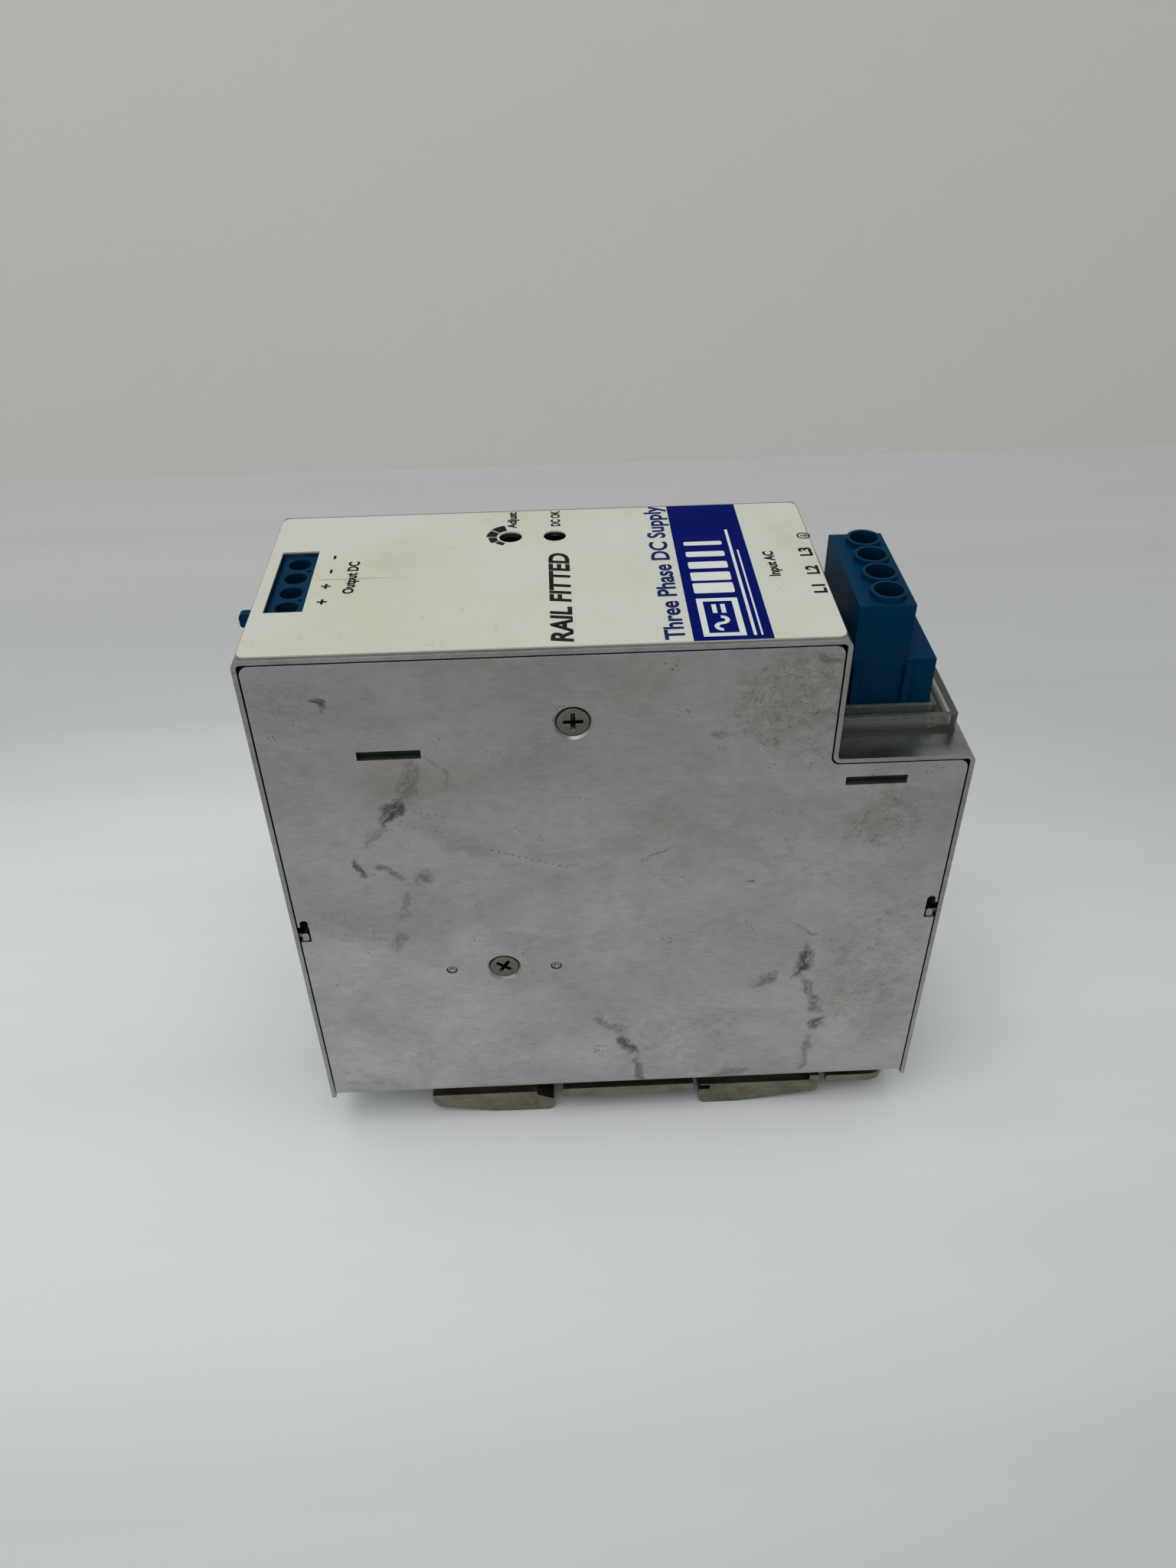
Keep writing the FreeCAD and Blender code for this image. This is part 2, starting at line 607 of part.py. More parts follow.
def make_output_block():
    """The moulded housing of the output terminals."""
    t = OUTPUT_TERMINAL
    back = t.screw_x + t.leg_reach + t.bar_t + 1.2
    low, high = CENTRE_Y - OUTPUT_BLOCK_HALF, CENTRE_Y + OUTPUT_BLOCK_HALF
    shoulder = CASE_DEPTH - COVER_T - PART_GAP
    board_top = OUTPUT_BOARD_Z + BOARD_T
    body = box(OUTPUT_BLOCK_X, back, low, high, board_top, shoulder)
    tower = box(WINDOW_X + 0.5, WINDOW_X + WINDOW_LENGTH - WINDOW_EDGE, low, high,
                shoulder - 0.1, t.top)
    lug_y = t.pole_ys()[0] + 1.2
    lug_z = CASE_DEPTH - LUG_DROP
    lug = plate_xz([(OUTPUT_BLOCK_X + 0.1, lug_z, 0), (OUTPUT_BLOCK_X + 0.1, lug_z + LUG_HEIGHT, 0),
                    (-OUTPUT_LUG, lug_z + LUG_HEIGHT, 0.7), (-OUTPUT_LUG, lug_z + 0.8, 0.5)],
                   lug_y - LUG_T / 2, lug_y + LUG_T / 2)
    shape = union([body, tower, lug])
    tools = [tool for y in t.pole_ys() for tool in t.cutters(y)]
    between = (t.pole_ys()[0] + t.pole_ys()[1]) / 2
    for y in (between, 2 * CENTRE_Y - between):
        tools.append(rod((t.screw_x + 1.9, y, t.top - 2.0), 0.35, 3))
    add("output_terminal_housing", cut(shape, tools))
    t.add_all()


def make_input_block():
    """The moulded housing of the input terminals, with a collar around each screw hole."""
    t = INPUT_TERMINAL
    low, high = CENTRE_Y - INPUT_BLOCK_HALF, CENTRE_Y + INPUT_BLOCK_HALF
    base = INPUT_BOARD_Z + BOARD_T
    step_top = t.bar_z + INPUT_STEP_COVER
    pieces = [
        box(INPUT_BLOCK_X, INPUT_STEP_X, low, high, base, INPUT_BLOCK_TOP),
        box(INPUT_STEP_X - 1, INPUT_END_X, low, high, base, step_top),
    ]
    for x in (INPUT_BLOCK_X + 0.2, INPUT_STEP_X - 0.4):
        rib = plate_xz([(x, NOTCH_FLOOR + 0.2, 0), (x, NOTCH_FLOOR + 11.2, 0.4),
                        (x + 1.2, NOTCH_FLOOR + 11.2, 0.4), (x + 1.2, NOTCH_FLOOR + 0.2, 0)],
                       low - INPUT_RIB, low + 0.1)
        pieces += both_sides(rib)
    for y in t.pole_ys():
        pieces.append(rod((t.screw_x, y, INPUT_BLOCK_TOP - 0.1), INPUT_COLLAR_R,
                          INPUT_COLLAR_RISE + 0.1))
    tools = [tool for y in t.pole_ys() for tool in t.cutters(y)]
    add("input_terminal_housing", cut(union(pieces), tools))
    t.add_all()


def make_input_guard():
    """The clear tray around the input block, with a collar that hugs the block."""
    x0 = FRONT_LENGTH + COVER_BEND - COVER_T + SEAT_GAP
    x1 = CASE_LENGTH - GUARD_END
    y0 = GUARD_SIDE
    floor_z = NOTCH_FLOOR
    top = floor_z + GUARD_RISE
    tray = plate_xy([(x0, y0, 0.6), (x1, y0, 0.9), (x1, CASE_WIDTH - y0, 0.9),
                     (x0, CASE_WIDTH - y0, 0.6)], floor_z, top)
    moat = box(x0 + GUARD_WALL, x1 - GUARD_WALL, y0 + GUARD_WALL, CASE_WIDTH - y0 - GUARD_WALL,
               floor_z + GUARD_FLOOR, top + 1)
    clear_x0, clear_x1 = INPUT_BLOCK_X - SEAT_GAP, INPUT_END_X + SEAT_GAP
    clear_y = INPUT_BLOCK_HALF + INPUT_RIB + SEAT_GAP
    wall = GUARD_COLLAR_WALL
    collar = box(clear_x0 - wall, clear_x1 + wall, CENTRE_Y - clear_y - wall,
                 CENTRE_Y + clear_y + wall, floor_z - COVER_T - 0.6, top + 0.2)
    hole = box(clear_x0, clear_x1, CENTRE_Y - clear_y, CENTRE_Y + clear_y,
               floor_z - 5, top + 2)
    add("input_guard", union([cut(tray, [moat]), collar]).cut(hole))


# ---------------------------------------------------------------- rail clip
HOOK_X1 = RAIL_X0 + HOOK_GRIP
HOOK_X0 = HOOK_X1 - HOOK_LENGTH
SEAT_X0 = RAIL_X0 + 3.8
SEAT_X1 = RAIL_X1 - 3.3
LATCH_X0 = RAIL_X1 - HOOK_GRIP
LATCH_X1 = LATCH_X0 + LATCH_LENGTH
TONGUE_X1 = LATCH_X1 + TONGUE_LENGTH + 1.5
LATCH_TOP = -CLIP_BASE_T - PART_GAP
LATCH_PLATE_Z = LATCH_TOP - LATCH_PLATE_T
GUIDE_R = 1.5
GUIDE_HEAD_R = 2.8
GUIDE_HEAD_H = 1.6
GUIDE_SCREWS = tuple((LATCH_X0 + offset, CENTRE_Y) for offset in (10.9, 20.9))
BRACKET_SCREWS = tuple((x, y) for x in (HOOK_X0 + 9.0, RAIL_CENTRE - 4.0)
                       for y in (14.0, CASE_WIDTH - 14.0))
SPRING_X0 = LATCH_X0 + 3.0
POST_LENGTH = 3.0


def clip_block(points, side):
    """A piece of the clip's section, set in by side from both side panels."""
    return plate_xz(points, side, CASE_WIDTH - side)


def riser(x0, x1, top):
    """The narrower part that joins a hook to the plate above it."""
    inset = HOOK_SIDE + HOOK_RISER_INSET
    return box(x0, x1, inset, CASE_WIDTH - inset, HOOK_TOP - 0.1, top)


def make_rail_bracket():
    """The fixed half of the clip: base, fixed hook, rail seat and the posts for the springs."""
    inset = CLIP_SIDE + CLIP_BASE_INSET
    base = box(HOOK_X0 + 2, LATCH_X1 - 0.5, inset, CASE_WIDTH - inset, -CLIP_BASE_T, 0)
    lip_top = CLIP_SEAT_Z - RAIL_LIP_T - RAIL_PLAY
    inner = RAIL_X0 - 1.8
    hook = clip_block([
        (HOOK_X0, HOOK_TOP, 0), (HOOK_X0, -7.6, 2.4), (HOOK_X0 + 13, -10.0, 3.0),
        (HOOK_X0 + 17, -CLIP_DEPTH, 8.0), (HOOK_X1, -CLIP_DEPTH, 1.6),
        (HOOK_X1, lip_top - 0.9, 0.6), (inner + 1.0, lip_top + 0.2, 0.3),
        (inner, lip_top + 0.6, 0.3), (inner, HOOK_TOP, 0),
    ], HOOK_SIDE)
    seat = clip_block([(SEAT_X0, CLIP_SEAT_Z, 0.3), (SEAT_X0, -CLIP_BASE_T + 0.2, 0),
                       (SEAT_X1, -CLIP_BASE_T + 0.2, 0), (SEAT_X1, CLIP_SEAT_Z, 0.3)], CLIP_SIDE)
    post_x = SPRING_X0 + SPRING_LENGTH
    post = box(post_x, post_x + POST_LENGTH, SPRING_SIDE - 1.6, SPRING_SIDE + 1.6,
               LATCH_TOP - 4.3, -CLIP_BASE_T + 0.1)
    shape = union([base, hook, seat, riser(HOOK_X0 + 2, inner, -CLIP_BASE_T + 0.1)] + both_sides(post))
    holes = [rod((x, y, -7.5), M3_HOLE_R, 9) for x, y in BRACKET_SCREWS[:2]]
    holes += [rod((x, y, CLIP_SEAT_Z + 0.6), M3_HOLE_R, 6) for x, y in BRACKET_SCREWS[2:]]
    holes += [rod((x, y, -CLIP_BASE_T - 1), GUIDE_R + RUN_GAP, 6) for x, y in GUIDE_SCREWS]
    add("rail_bracket", cut(shape, holes))
    for index, (x, y) in enumerate(BRACKET_SCREWS):
        shank = 7.4 if index < 2 else -CLIP_SEAT_Z - 1.0
        head = rod((x, y, CHASSIS_T), PAN_HEAD_R, PAN_HEAD_H)
        body = rod((x, y, -shank), M3_R, shank + CHASSIS_T + 0.1)
        recess = cross_recess((x, y, CHASSIS_T + PAN_HEAD_H))
        add("rail_bracket_screws", cut(union([head, body]), recess))


def make_rail_latch():
    """The sliding hook, its pull tongue and the two shouldered screws that guide it."""
    hook = clip_block([
        (LATCH_X0, HOOK_TOP, 0.4), (LATCH_X0, -CLIP_DEPTH, 1.6),
        (LATCH_X0 + 8, -CLIP_DEPTH, 6.0), (LATCH_X1, -7.6, 0.8), (LATCH_X1, HOOK_TOP, 0.3),
    ], HOOK_SIDE)
    tongue = plate_xy([(LATCH_X1 - 2, TONGUE_SIDE, 0), (TONGUE_X1, TONGUE_SIDE, 4.0),
                       (TONGUE_X1, CASE_WIDTH - TONGUE_SIDE, 4.0),
                       (LATCH_X1 - 2, CASE_WIDTH - TONGUE_SIDE, 0)], LATCH_PLATE_Z, LATCH_TOP)
    shape = union([hook, tongue, riser(LATCH_X0, LATCH_X1, LATCH_TOP)])
    rail_slot_z = CLIP_SEAT_Z - RAIL_LIP_T - RAIL_PLAY
    tools = [
        box(LATCH_X0 - 1, RAIL_X1 + 0.5, 0, CASE_WIDTH, rail_slot_z, CLIP_SEAT_Z + 0.2),
        box(TONGUE_X1 - 6.5, TONGUE_X1 - 3.0, CENTRE_Y - 4, CENTRE_Y + 4, -8, 0),
    ]
    tools += both_sides(box(LATCH_X1, LATCH_X1 + 1.5, 0, HOOK_SIDE + 2.5, -8, 0))
    tools += both_sides(box(LATCH_X1 - 2.5, LATCH_X1 + 0.1, 0, HOOK_SIDE, -8, 0))
    pocket_end = SPRING_X0 + SPRING_LENGTH + POST_LENGTH + PART_GAP
    pocket = box(SPRING_X0, pocket_end, SPRING_SIDE - SPRING_R - PART_GAP,
                 SPRING_SIDE + SPRING_R + PART_GAP, LATCH_TOP - 4.7, 0)
    tools += both_sides(pocket)
    head_gap = GUIDE_HEAD_R + PART_GAP
    (x_first, y), (x_last, _) = GUIDE_SCREWS
    tools.append(box(x_first - LATCH_TRAVEL - head_gap, x_last + head_gap,
                     y - head_gap, y + head_gap, -CLIP_DEPTH - 1, LATCH_PLATE_Z))
    for x, y in GUIDE_SCREWS:
        slot_half = GUIDE_R + PART_GAP
        tools.append(box(x - LATCH_TRAVEL - slot_half, x + slot_half, y - slot_half,
                         y + slot_half, LATCH_PLATE_Z - 1, 0))
        head_top = LATCH_PLATE_Z - PART_GAP
        screw = union([rod((x, y, head_top - GUIDE_HEAD_H), GUIDE_HEAD_R, GUIDE_HEAD_H),
                       rod((x, y, head_top - 0.1), GUIDE_R, -head_top + 0.1),
                       rod((x, y, -0.1), M3_R, CHASSIS_T + 2.4)])
        recess = box(x - 2, x + 2, y - 0.4, y + 0.4, head_top - GUIDE_HEAD_H,
                     head_top - GUIDE_HEAD_H + 0.8)
        add("latch_guide_screws", screw.cut(recess))
    add("rail_latch", cut(shape, tools))


def make_latch_springs():
    """The two compression springs between the bracket's posts and the latch."""
    radius = SPRING_R - SPRING_WIRE_R
    length = SPRING_LENGTH - 2 * SPRING_WIRE_R - 2 * SEAT_GAP
    helix = Part.makeHelix(length / SPRING_TURNS, length, radius)
    ring = Part.Wire(Part.makeCircle(SPRING_WIRE_R, Vec(radius, 0, 0), Vec(0, 1, 0)))
    coil = Part.Wire(helix).makePipeShell([ring], True, True)
    coil.rotate(Vec(0, 0, 0), Vec(0, 1, 0), 90)
    place = Vec(SPRING_X0 + SPRING_WIRE_R + SEAT_GAP, SPRING_SIDE, LATCH_TOP - 2.3)
    add("latch_springs", *both_sides(coil.translated(place)))


# ---------------------------------------------------------------- circuit boards
def lying_board(x0, x1, z0, tab_x):
    """A board parallel to the front, with a tab through each side panel."""
    free = CHASSIS_T + 0.5
    body = box(x0, x1, free, CASE_WIDTH - free, z0, z0 + BOARD_T)
    tabs = box(tab_x, tab_x + BOARD_TAB_LENGTH, BOARD_TAB_SUNK, CASE_WIDTH - BOARD_TAB_SUNK,
               z0, z0 + BOARD_T)
    return union([body, tabs])


LINK_W = 0.8
OUTPUT_LINKS = tuple(14.5 + 4.0 * index for index in range(4))
INPUT_LINKS = tuple(FRONT_LENGTH + 1.2 + 4.0 * index for index in range(4))
CONTROL_LINKS = tuple(LAMP_X + 1.6 + 2.54 * index for index in range(5))
BOARD_SCREWS = ((PANEL_X0 + 6.5, 8.0), (PANEL_X1 - 5.2, 32.0), (40.5, 8.0),
                (PANEL_STEP_X - 5.2, CASE_DEPTH - 13.5), (PANEL_X0 + 6.5, OUTPUT_BOARD_Z - 6.0))
MAIN_TOP = CONTROL_BOARD_Z - 0.9
MAIN_LEFT_TOP = OUTPUT_BOARD_Z - 1.6
MAIN_RIGHT_TOP = INPUT_BOARD_Z - 1.6
MAIN_STEP_X0 = 36.5


def main_board_outline(grow=0.0):
    """The main board's stepped outline, which keeps below the output and input boards."""
    x0, x1 = PANEL_X0 + BOARD_EDGE - grow, PANEL_X1 - BOARD_EDGE + grow
    low = CHASSIS_T + BOARD_EDGE - grow
    step = PANEL_STEP_X - 2.0 + grow
    return [(x0, low, 1), (x1, low, 1), (x1, MAIN_RIGHT_TOP + grow, 1),
            (step, MAIN_RIGHT_TOP + grow, 0.5), (step, MAIN_TOP + grow, 1),
            (MAIN_STEP_X0 - grow, MAIN_TOP + grow, 1),
            (MAIN_STEP_X0 - grow, MAIN_LEFT_TOP + grow, 0.5), (x0, MAIN_LEFT_TOP + grow, 1)]


def link_pin(x, z0, z1):
    """An angled pin that joins the main board to a board above it."""
    y1 = MAIN_BOARD_Y
    half = LINK_W / 2
    return union([box(x - half, x + half, y1 - 2.0, y1 - 2.0 + LINK_W, z0, z1),
                  box(x - half, x + half, y1 - 2.0, y1 + BOARD_T + 0.8, z0, z0 + LINK_W)])


def link_sets():
    """Every row of pins, as (list of X, low Z, high Z)."""
    return ((OUTPUT_LINKS, OUTPUT_BOARD_Z - 3.4, OUTPUT_BOARD_Z + BOARD_T + 0.8),
            (INPUT_LINKS, INPUT_BOARD_Z - 3.4, INPUT_BOARD_Z + BOARD_T + 0.8),
            (CONTROL_LINKS, MAIN_TOP - 2.4, CONTROL_BOARD_Z + BOARD_T + 0.8))


def pin_holes(xs, z0, z1):
    """Cutters for the upright ends of a row of pins."""
    half = LINK_W / 2 + SEAT_GAP
    y0 = MAIN_BOARD_Y - 2.0 - SEAT_GAP
    return [box(x - half, x + half, y0, y0 + 2 * half, z0, z1) for x in xs]


def make_boards():
    """The four boards, the pins that join them, and the main board's standoffs and screws."""
    sets = link_sets()
    for xs, low, high in sets:
        add("board_link_pins", *[link_pin(x, low, high) for x in xs])
    output = lying_board(PANEL_X0 + 1.2, MAIN_STEP_X0 - 2.0, OUTPUT_BOARD_Z, BOARD_TAB_START)
    output = cut(output, OUTPUT_TERMINAL.board_holes()
                 + pin_holes(OUTPUT_LINKS, OUTPUT_BOARD_Z - 1, OUTPUT_BOARD_Z + 3))
    add("output_board", output)
    inside = lying_board(FRONT_LENGTH - 0.6, PANEL_X1 - 1.2, INPUT_BOARD_Z, INPUT_TAB_START)
    inside = cut(inside, INPUT_TERMINAL.board_holes()
                 + pin_holes(INPUT_LINKS, INPUT_BOARD_Z - 1, INPUT_BOARD_Z + 3))
    add("input_board", inside)
    control = box(DIAL_X - 6.2, LAMP_X + 13.6, MAIN_BOARD_Y - 13.0, MAIN_BOARD_Y + 0.2,
                  CONTROL_BOARD_Z, CONTROL_BOARD_Z + BOARD_T)
    control = cut(control, pin_holes(CONTROL_LINKS, CONTROL_BOARD_Z - 1, CONTROL_BOARD_Z + 3))
    add("control_board", control)

    y0, y1 = MAIN_BOARD_Y, MAIN_BOARD_Y + BOARD_T
    board = plate_xz(main_board_outline(), y0, y1)
    tools = [rod((x, y0 - 1, z), M3_R + 0.15, BOARD_T + 2, "y") for x, z in BOARD_SCREWS]
    half = LINK_W / 2 + SEAT_GAP
    for xs, low, _ in sets:
        tools += [box(x - half, x + half, y0 - 1, y1 + 1, low - SEAT_GAP, low + LINK_W + SEAT_GAP)
                  for x in xs]
    tools += [rod((x, y0 - 1, z), LEAD_R + SEAT_GAP, BOARD_T + 2, "y") for x, z in lead_places()]
    add("main_board", cut(board, tools))

    standoff_end = CASE_WIDTH - CHASSIS_T
    film_y = (y1 + standoff_end) / 2 + 0.4
    for x, z in BOARD_SCREWS:
        post = rod((x, y1, z), 2.75, standoff_end - y1, "y")
        add("board_standoffs", post.cut(rod((x, y1 - 1, z), M3_HOLE_R, 3.6, "y")))
        head = rod((x, y0 - PAN_HEAD_H, z), PAN_HEAD_R, PAN_HEAD_H, "y")
        shank = rod((x, y0 - 0.1, z), M3_R, BOARD_T + 2.5, "y")
        recess = cross_recess((x, y0 - PAN_HEAD_H, z), "y")
        add("board_screws", cut(union([head, shank]), recess))
    film = plate_xz(main_board_outline(0.5), film_y, film_y + 0.3)
    holes = [rod((x, film_y - 1, z), 2.75 + SEAT_GAP, 3, "y") for x, z in BOARD_SCREWS]
    add("insulation_film", cut(film, holes))


# ---------------------------------------------------------------- parts on the boards
LEAD_R = 0.35
PACKAGE_W = 10.0
PACKAGE_T = 4.4
PACKAGE_H = 15.0
PRIMARY_PACKAGES = tuple(PRIMARY_SINK_X + offset for offset in (-6.4, 6.4))
SECONDARY_PACKAGES = tuple(SECONDARY_SINK_X + offset for offset in (-6.4, 6.4))
LEAD_PITCH = 2.54


def package_rows():
    """Each row of flat packages, as (node, list of X, low Z)."""
    return (("primary_transistors", PRIMARY_PACKAGES, PRIMARY_SINK_Z + SINK_T / 2),
            ("output_rectifiers", SECONDARY_PACKAGES,
             SECONDARY_SINK_Z - SINK_T / 2 - PACKAGE_T))


def lead_places():
    """The (x, z) of every package lead in the main board."""
    return [(x + LEAD_PITCH * step, z0 + PACKAGE_T / 2)
            for _, xs, z0 in package_rows() for x in xs for step in (-1, 0, 1)]


def make_heat_sinks():
    """Two aluminium bars screwed to the near panel, their pads, screws and flat packages."""
    y0 = CHASSIS_T + SINK_PAD_T
    y1 = MAIN_BOARD_Y - 3.5
    names = ("primary_heat_sink", "secondary_heat_sink")
    for name, (x, z), turn in zip(names, SINK_PLACES, SINK_SCREW_TURNS):
        half = SINK_LENGTH / 2
        bar = box(x - half, x + half, y0, y1, z - SINK_T / 2, z + SINK_T / 2)
        pegs = [rod((px, PEG_SUNK, pz), PEG_R, y0, "y").cut(
                    Part.makeCone(PEG_R * 0.6, 0.1, PEG_R * 0.6, Vec(px, PEG_SUNK, pz), Vec(0, 1, 0)))
                for px, pz in PEG_PLACES if pz == z]
        thread = rod((x, y0 - 1, z), M3_HOLE_R, 10.5, "y")
        add(name, union([bar] + pegs).cut(thread))
        pad = box(x - half, x + half, CHASSIS_T, y0, z - SINK_T / 2, z + SINK_T / 2)
        holes = [rod((x, 0, z), M3_HOLE_R, 5, "y")]
        holes += [rod((px, 0, pz), PEG_R + SEAT_GAP, 5, "y") for px, pz in PEG_PLACES]
        add("thermal_pads", cut(pad, holes))
        cone = Part.makeCone(CSK_HEAD_R, M3_R, CSK_HEAD_R - M3_R, Vec(x, CSK_SUNK, z), Vec(0, 1, 0))
        screw = union([cone, rod((x, CSK_SUNK + 0.5, z), M3_R, 9.5, "y")])
        recess = cross_recess((x, CSK_SUNK, z), "y", CSK_CROSS, turn)
        add("heat_sink_screws", cut(screw, recess))
    for name, xs, z0 in package_rows():
        for x in xs:
            top = MAIN_BOARD_Y - 6.0
            body = box(x - PACKAGE_W / 2, x + PACKAGE_W / 2, top - PACKAGE_H, top,
                       z0, z0 + PACKAGE_T)
            leads = [rod((x + LEAD_PITCH * step, top - 0.5, z0 + PACKAGE_T / 2), LEAD_R,
                         6.5 + BOARD_T + 1.0, "y") for step in (-1, 0, 1)]
            add(name, union([body] + leads))


def can(x, z, radius, height):
    """A round can standing on the main board, with a rolled groove near its foot."""
    base = MAIN_BOARD_Y
    body = rod((x, base - height, z), radius, height, "y")
    body = body.makeFillet(0.6, [edge for edge in body.Edges
                                 if abs(edge.CenterOfMass.y - (base - height)) < 1e-3])
    groove = Part.makeTorus(radius + 0.2, 0.7, Vec(x, base - 3.0, z), Vec(0, 1, 0))
    return body.cut(groove)


def ring(x, y, z, outer, inner, height):
    """A flat ring lying on the main board, starting at y."""
    body = rod((x, y, z), outer, height, "y").cut(rod((x, y - 1, z), inner, height + 2, "y"))
    edges = [edge for edge in body.Edges if edge.Closed]
    return body.makeChamfer(0.8, edges)


def winding(x, y, z, outer, inner, height, start, sweep):
    """Wire wound around part of a ring: a shell that clears the ring by the seat gap."""
    wire = 1.2
    gap = SEAT_GAP
    fat = rod((x, y - wire, z), outer + wire, height + 2 * wire, "y")
    fat = fat.cut(rod((x, y - wire - 1, z), inner - wire, height + 2 * wire + 2, "y"))
    core = rod((x, y - gap, z), outer + gap, height + 2 * gap, "y")
    core = core.cut(rod((x, y - gap - 1, z), inner - gap, height + 2 * gap + 2, "y"))
    reach = 3 * outer
    low, high = math.radians(start), math.radians(start + sweep)
    wedge = [(x, z, 0), (x + reach * math.cos(low), z + reach * math.sin(low), 0),
             (x + reach * math.cos(high), z + reach * math.sin(high), 0)]
    return fat.cut(core).common(plate_xz(wedge, y - 5, y + height + 5))


def make_chokes():
    """The three-phase input choke and the single output choke."""
    wire = 1.2
    x, z, outer, inner, height = PANEL_X1 - 16.4, 45.0, 12.8, 6.5, 11.0
    y = MAIN_BOARD_Y - height - wire
    add("input_choke_core", ring(x, y, z, outer, inner, height))
    for start in (40, 160, 280):
        add("input_choke_windings", winding(x, y, z, outer, inner, height, start, 95))
    x, z, outer, inner, height = 15.6, 47.0, 9.0, 4.6, 9.0
    y = MAIN_BOARD_Y - height - wire
    add("output_choke_core", ring(x, y, z, outer, inner, height))
    for start in (20, 200):
        add("output_choke_winding", winding(x, y, z, outer, inner, height, start, 140))


def make_transformer():
    """Two ferrite halves, a bobbin and a winding."""
    x, z = 70.0, 55.0
    half_x, half_z, half_y = 18.0, 15.0, 6.0
    leg_r, yoke, limb = 5.5, 5.0, 5.0
    y = MAIN_BOARD_Y - 14.0
    middle_gap = 0.05
    for way in (-1, 1):
        low, high = sorted((z + way * middle_gap, z + way * half_z))
        core = box(x - half_x, x + half_x, y - half_y, y + half_y, low, high)
        near, far = sorted((z, z + way * (half_z - yoke)))
        window = box(x - half_x + limb, x + half_x - limb, y - half_y - 1, y + half_y + 1,
                     near - 0.5 if way > 0 else near, far + 0.5 if way < 0 else far)
        leg_low, leg_high = sorted((z + way * middle_gap, z + way * (half_z - yoke + 0.5)))
        leg = rod((x, y, leg_low), leg_r, leg_high - leg_low)
        add("transformer_core", union([core.cut(window), leg]))
    low, high = z - half_z + yoke + SEAT_GAP, z + half_z - yoke - SEAT_GAP
    flange = half_x - limb - 0.3
    tube = rod((x, y, low), leg_r + 0.9, high - low)
    plates = [box(x - flange, x + flange, y - flange, MAIN_BOARD_Y, z0, z0 + 1.0)
              for z0 in (low, high - 1.0)]
    bobbin = union([tube] + plates).cut(rod((x, y, low - 1), leg_r + SEAT_GAP, high - low + 2))
    add("transformer_bobbin", bobbin)
    turns = rod((x, y, low + 1.1), flange - 0.4, high - low - 2.2)
    add("transformer_winding", turns.cut(rod((x, y, low), leg_r + 1.0, high - low)))


def make_board_parts():
    """Capacitors, fuses, varistors, bridge rectifier and small packages on the main board."""
    y = MAIN_BOARD_Y
    for x in (PANEL_X0 + 57.0, PANEL_X0 + 80.0):
        add("bulk_capacitors", can(x, 18.5, 11.0, 36.0))
    for x in (13.5, 26.0):
        for z in (64.5, 76.0):
            add("output_capacitors", can(x, z, 5.0, 21.0))
    for index in range(3):
        x = PANEL_X1 - BOARD_EDGE - 22.0 + 7.4 * index
        case = box(x, x + 6.6, y - 16.0, y, 6.5, 27.0)
        add("suppression_capacitors", case.makeFillet(0.6, case.Edges[:4]))
    for index in range(3):
        x = PANEL_STEP_X + 1.6 + 8.6 * index
        add("input_fuses", rod((x, y - 8.0, MAIN_RIGHT_TOP - 6.6), 4.1, 8.0, "y"))
    for index in range(3):
        x = PANEL_STEP_X - 10.5 - 8.0 * index
        disc = rod((x, y - 9.0, INPUT_BOARD_Z + 10.0), 6.5, 3.4, "x")
        foot = box(x + 0.7, x + 2.7, y - 4.0, y, INPUT_BOARD_Z + 7.4, INPUT_BOARD_Z + 12.6)
        add("varistors", union([disc, foot]))
    bridge = box(SECONDARY_SINK_X - 15.0, SECONDARY_SINK_X + 13.0, y - 9.0, y, 72.5, 79.0)
    add("bridge_rectifier", bridge.makeChamfer(0.8, bridge.Edges[:4]))
    for x, z, wide, tall in ((14.0, 20.0, 10.0, 7.6), (27.5, 20.0, 6.4, 9.0),
                             (14.0, 31.0, 6.4, 4.6), (40.5, 55.0, 5.0, 10.4)):
        add("control_chips", box(x, x + wide, y - 1.8, y, z, z + tall))


def make_dial_and_lamp():
    """The adjusting dial and the signal lamp behind the two holes in the front."""
    top = CONTROL_BOARD_Z + BOARD_T
    half = DIAL_BODY / 2
    stem_z = top + 1.2
    body = box(DIAL_X - half, DIAL_X + half, DIAL_Y - half, DIAL_Y + half, top,
               top + DIAL_BODY_H)
    body = body.makeChamfer(0.4, body.Edges[:4])
    bore = rod((DIAL_X, DIAL_Y, stem_z), DIAL_STEM_R + RUN_GAP, DIAL_BODY_H)
    add("adjust_dial_body", body.cut(bore))
    rotor_z = top + DIAL_BODY_H + PART_GAP
    head_top = rotor_z + DIAL_ROTOR_H
    rotor = union([rod((DIAL_X, DIAL_Y, rotor_z), DIAL_ROTOR_R, DIAL_ROTOR_H),
                   rod((DIAL_X, DIAL_Y, stem_z + 0.2), DIAL_STEM_R, rotor_z - stem_z - 0.1)])
    add("adjust_dial_rotor",
        cut(rotor, cross_recess((DIAL_X, DIAL_Y, head_top), "z", 0.9)))
    lamp_r = 1.5
    dome_z = CASE_DEPTH - 1.4 - lamp_r
    lamp = union([rod((LAMP_X, LAMP_Y, top), lamp_r + 0.4, 1.0),
                  rod((LAMP_X, LAMP_Y, top + 0.5), lamp_r, dome_z - top - 0.5),
                  Part.makeSphere(lamp_r, Vec(LAMP_X, LAMP_Y, dome_z))])
    add("signal_lamp", lamp)


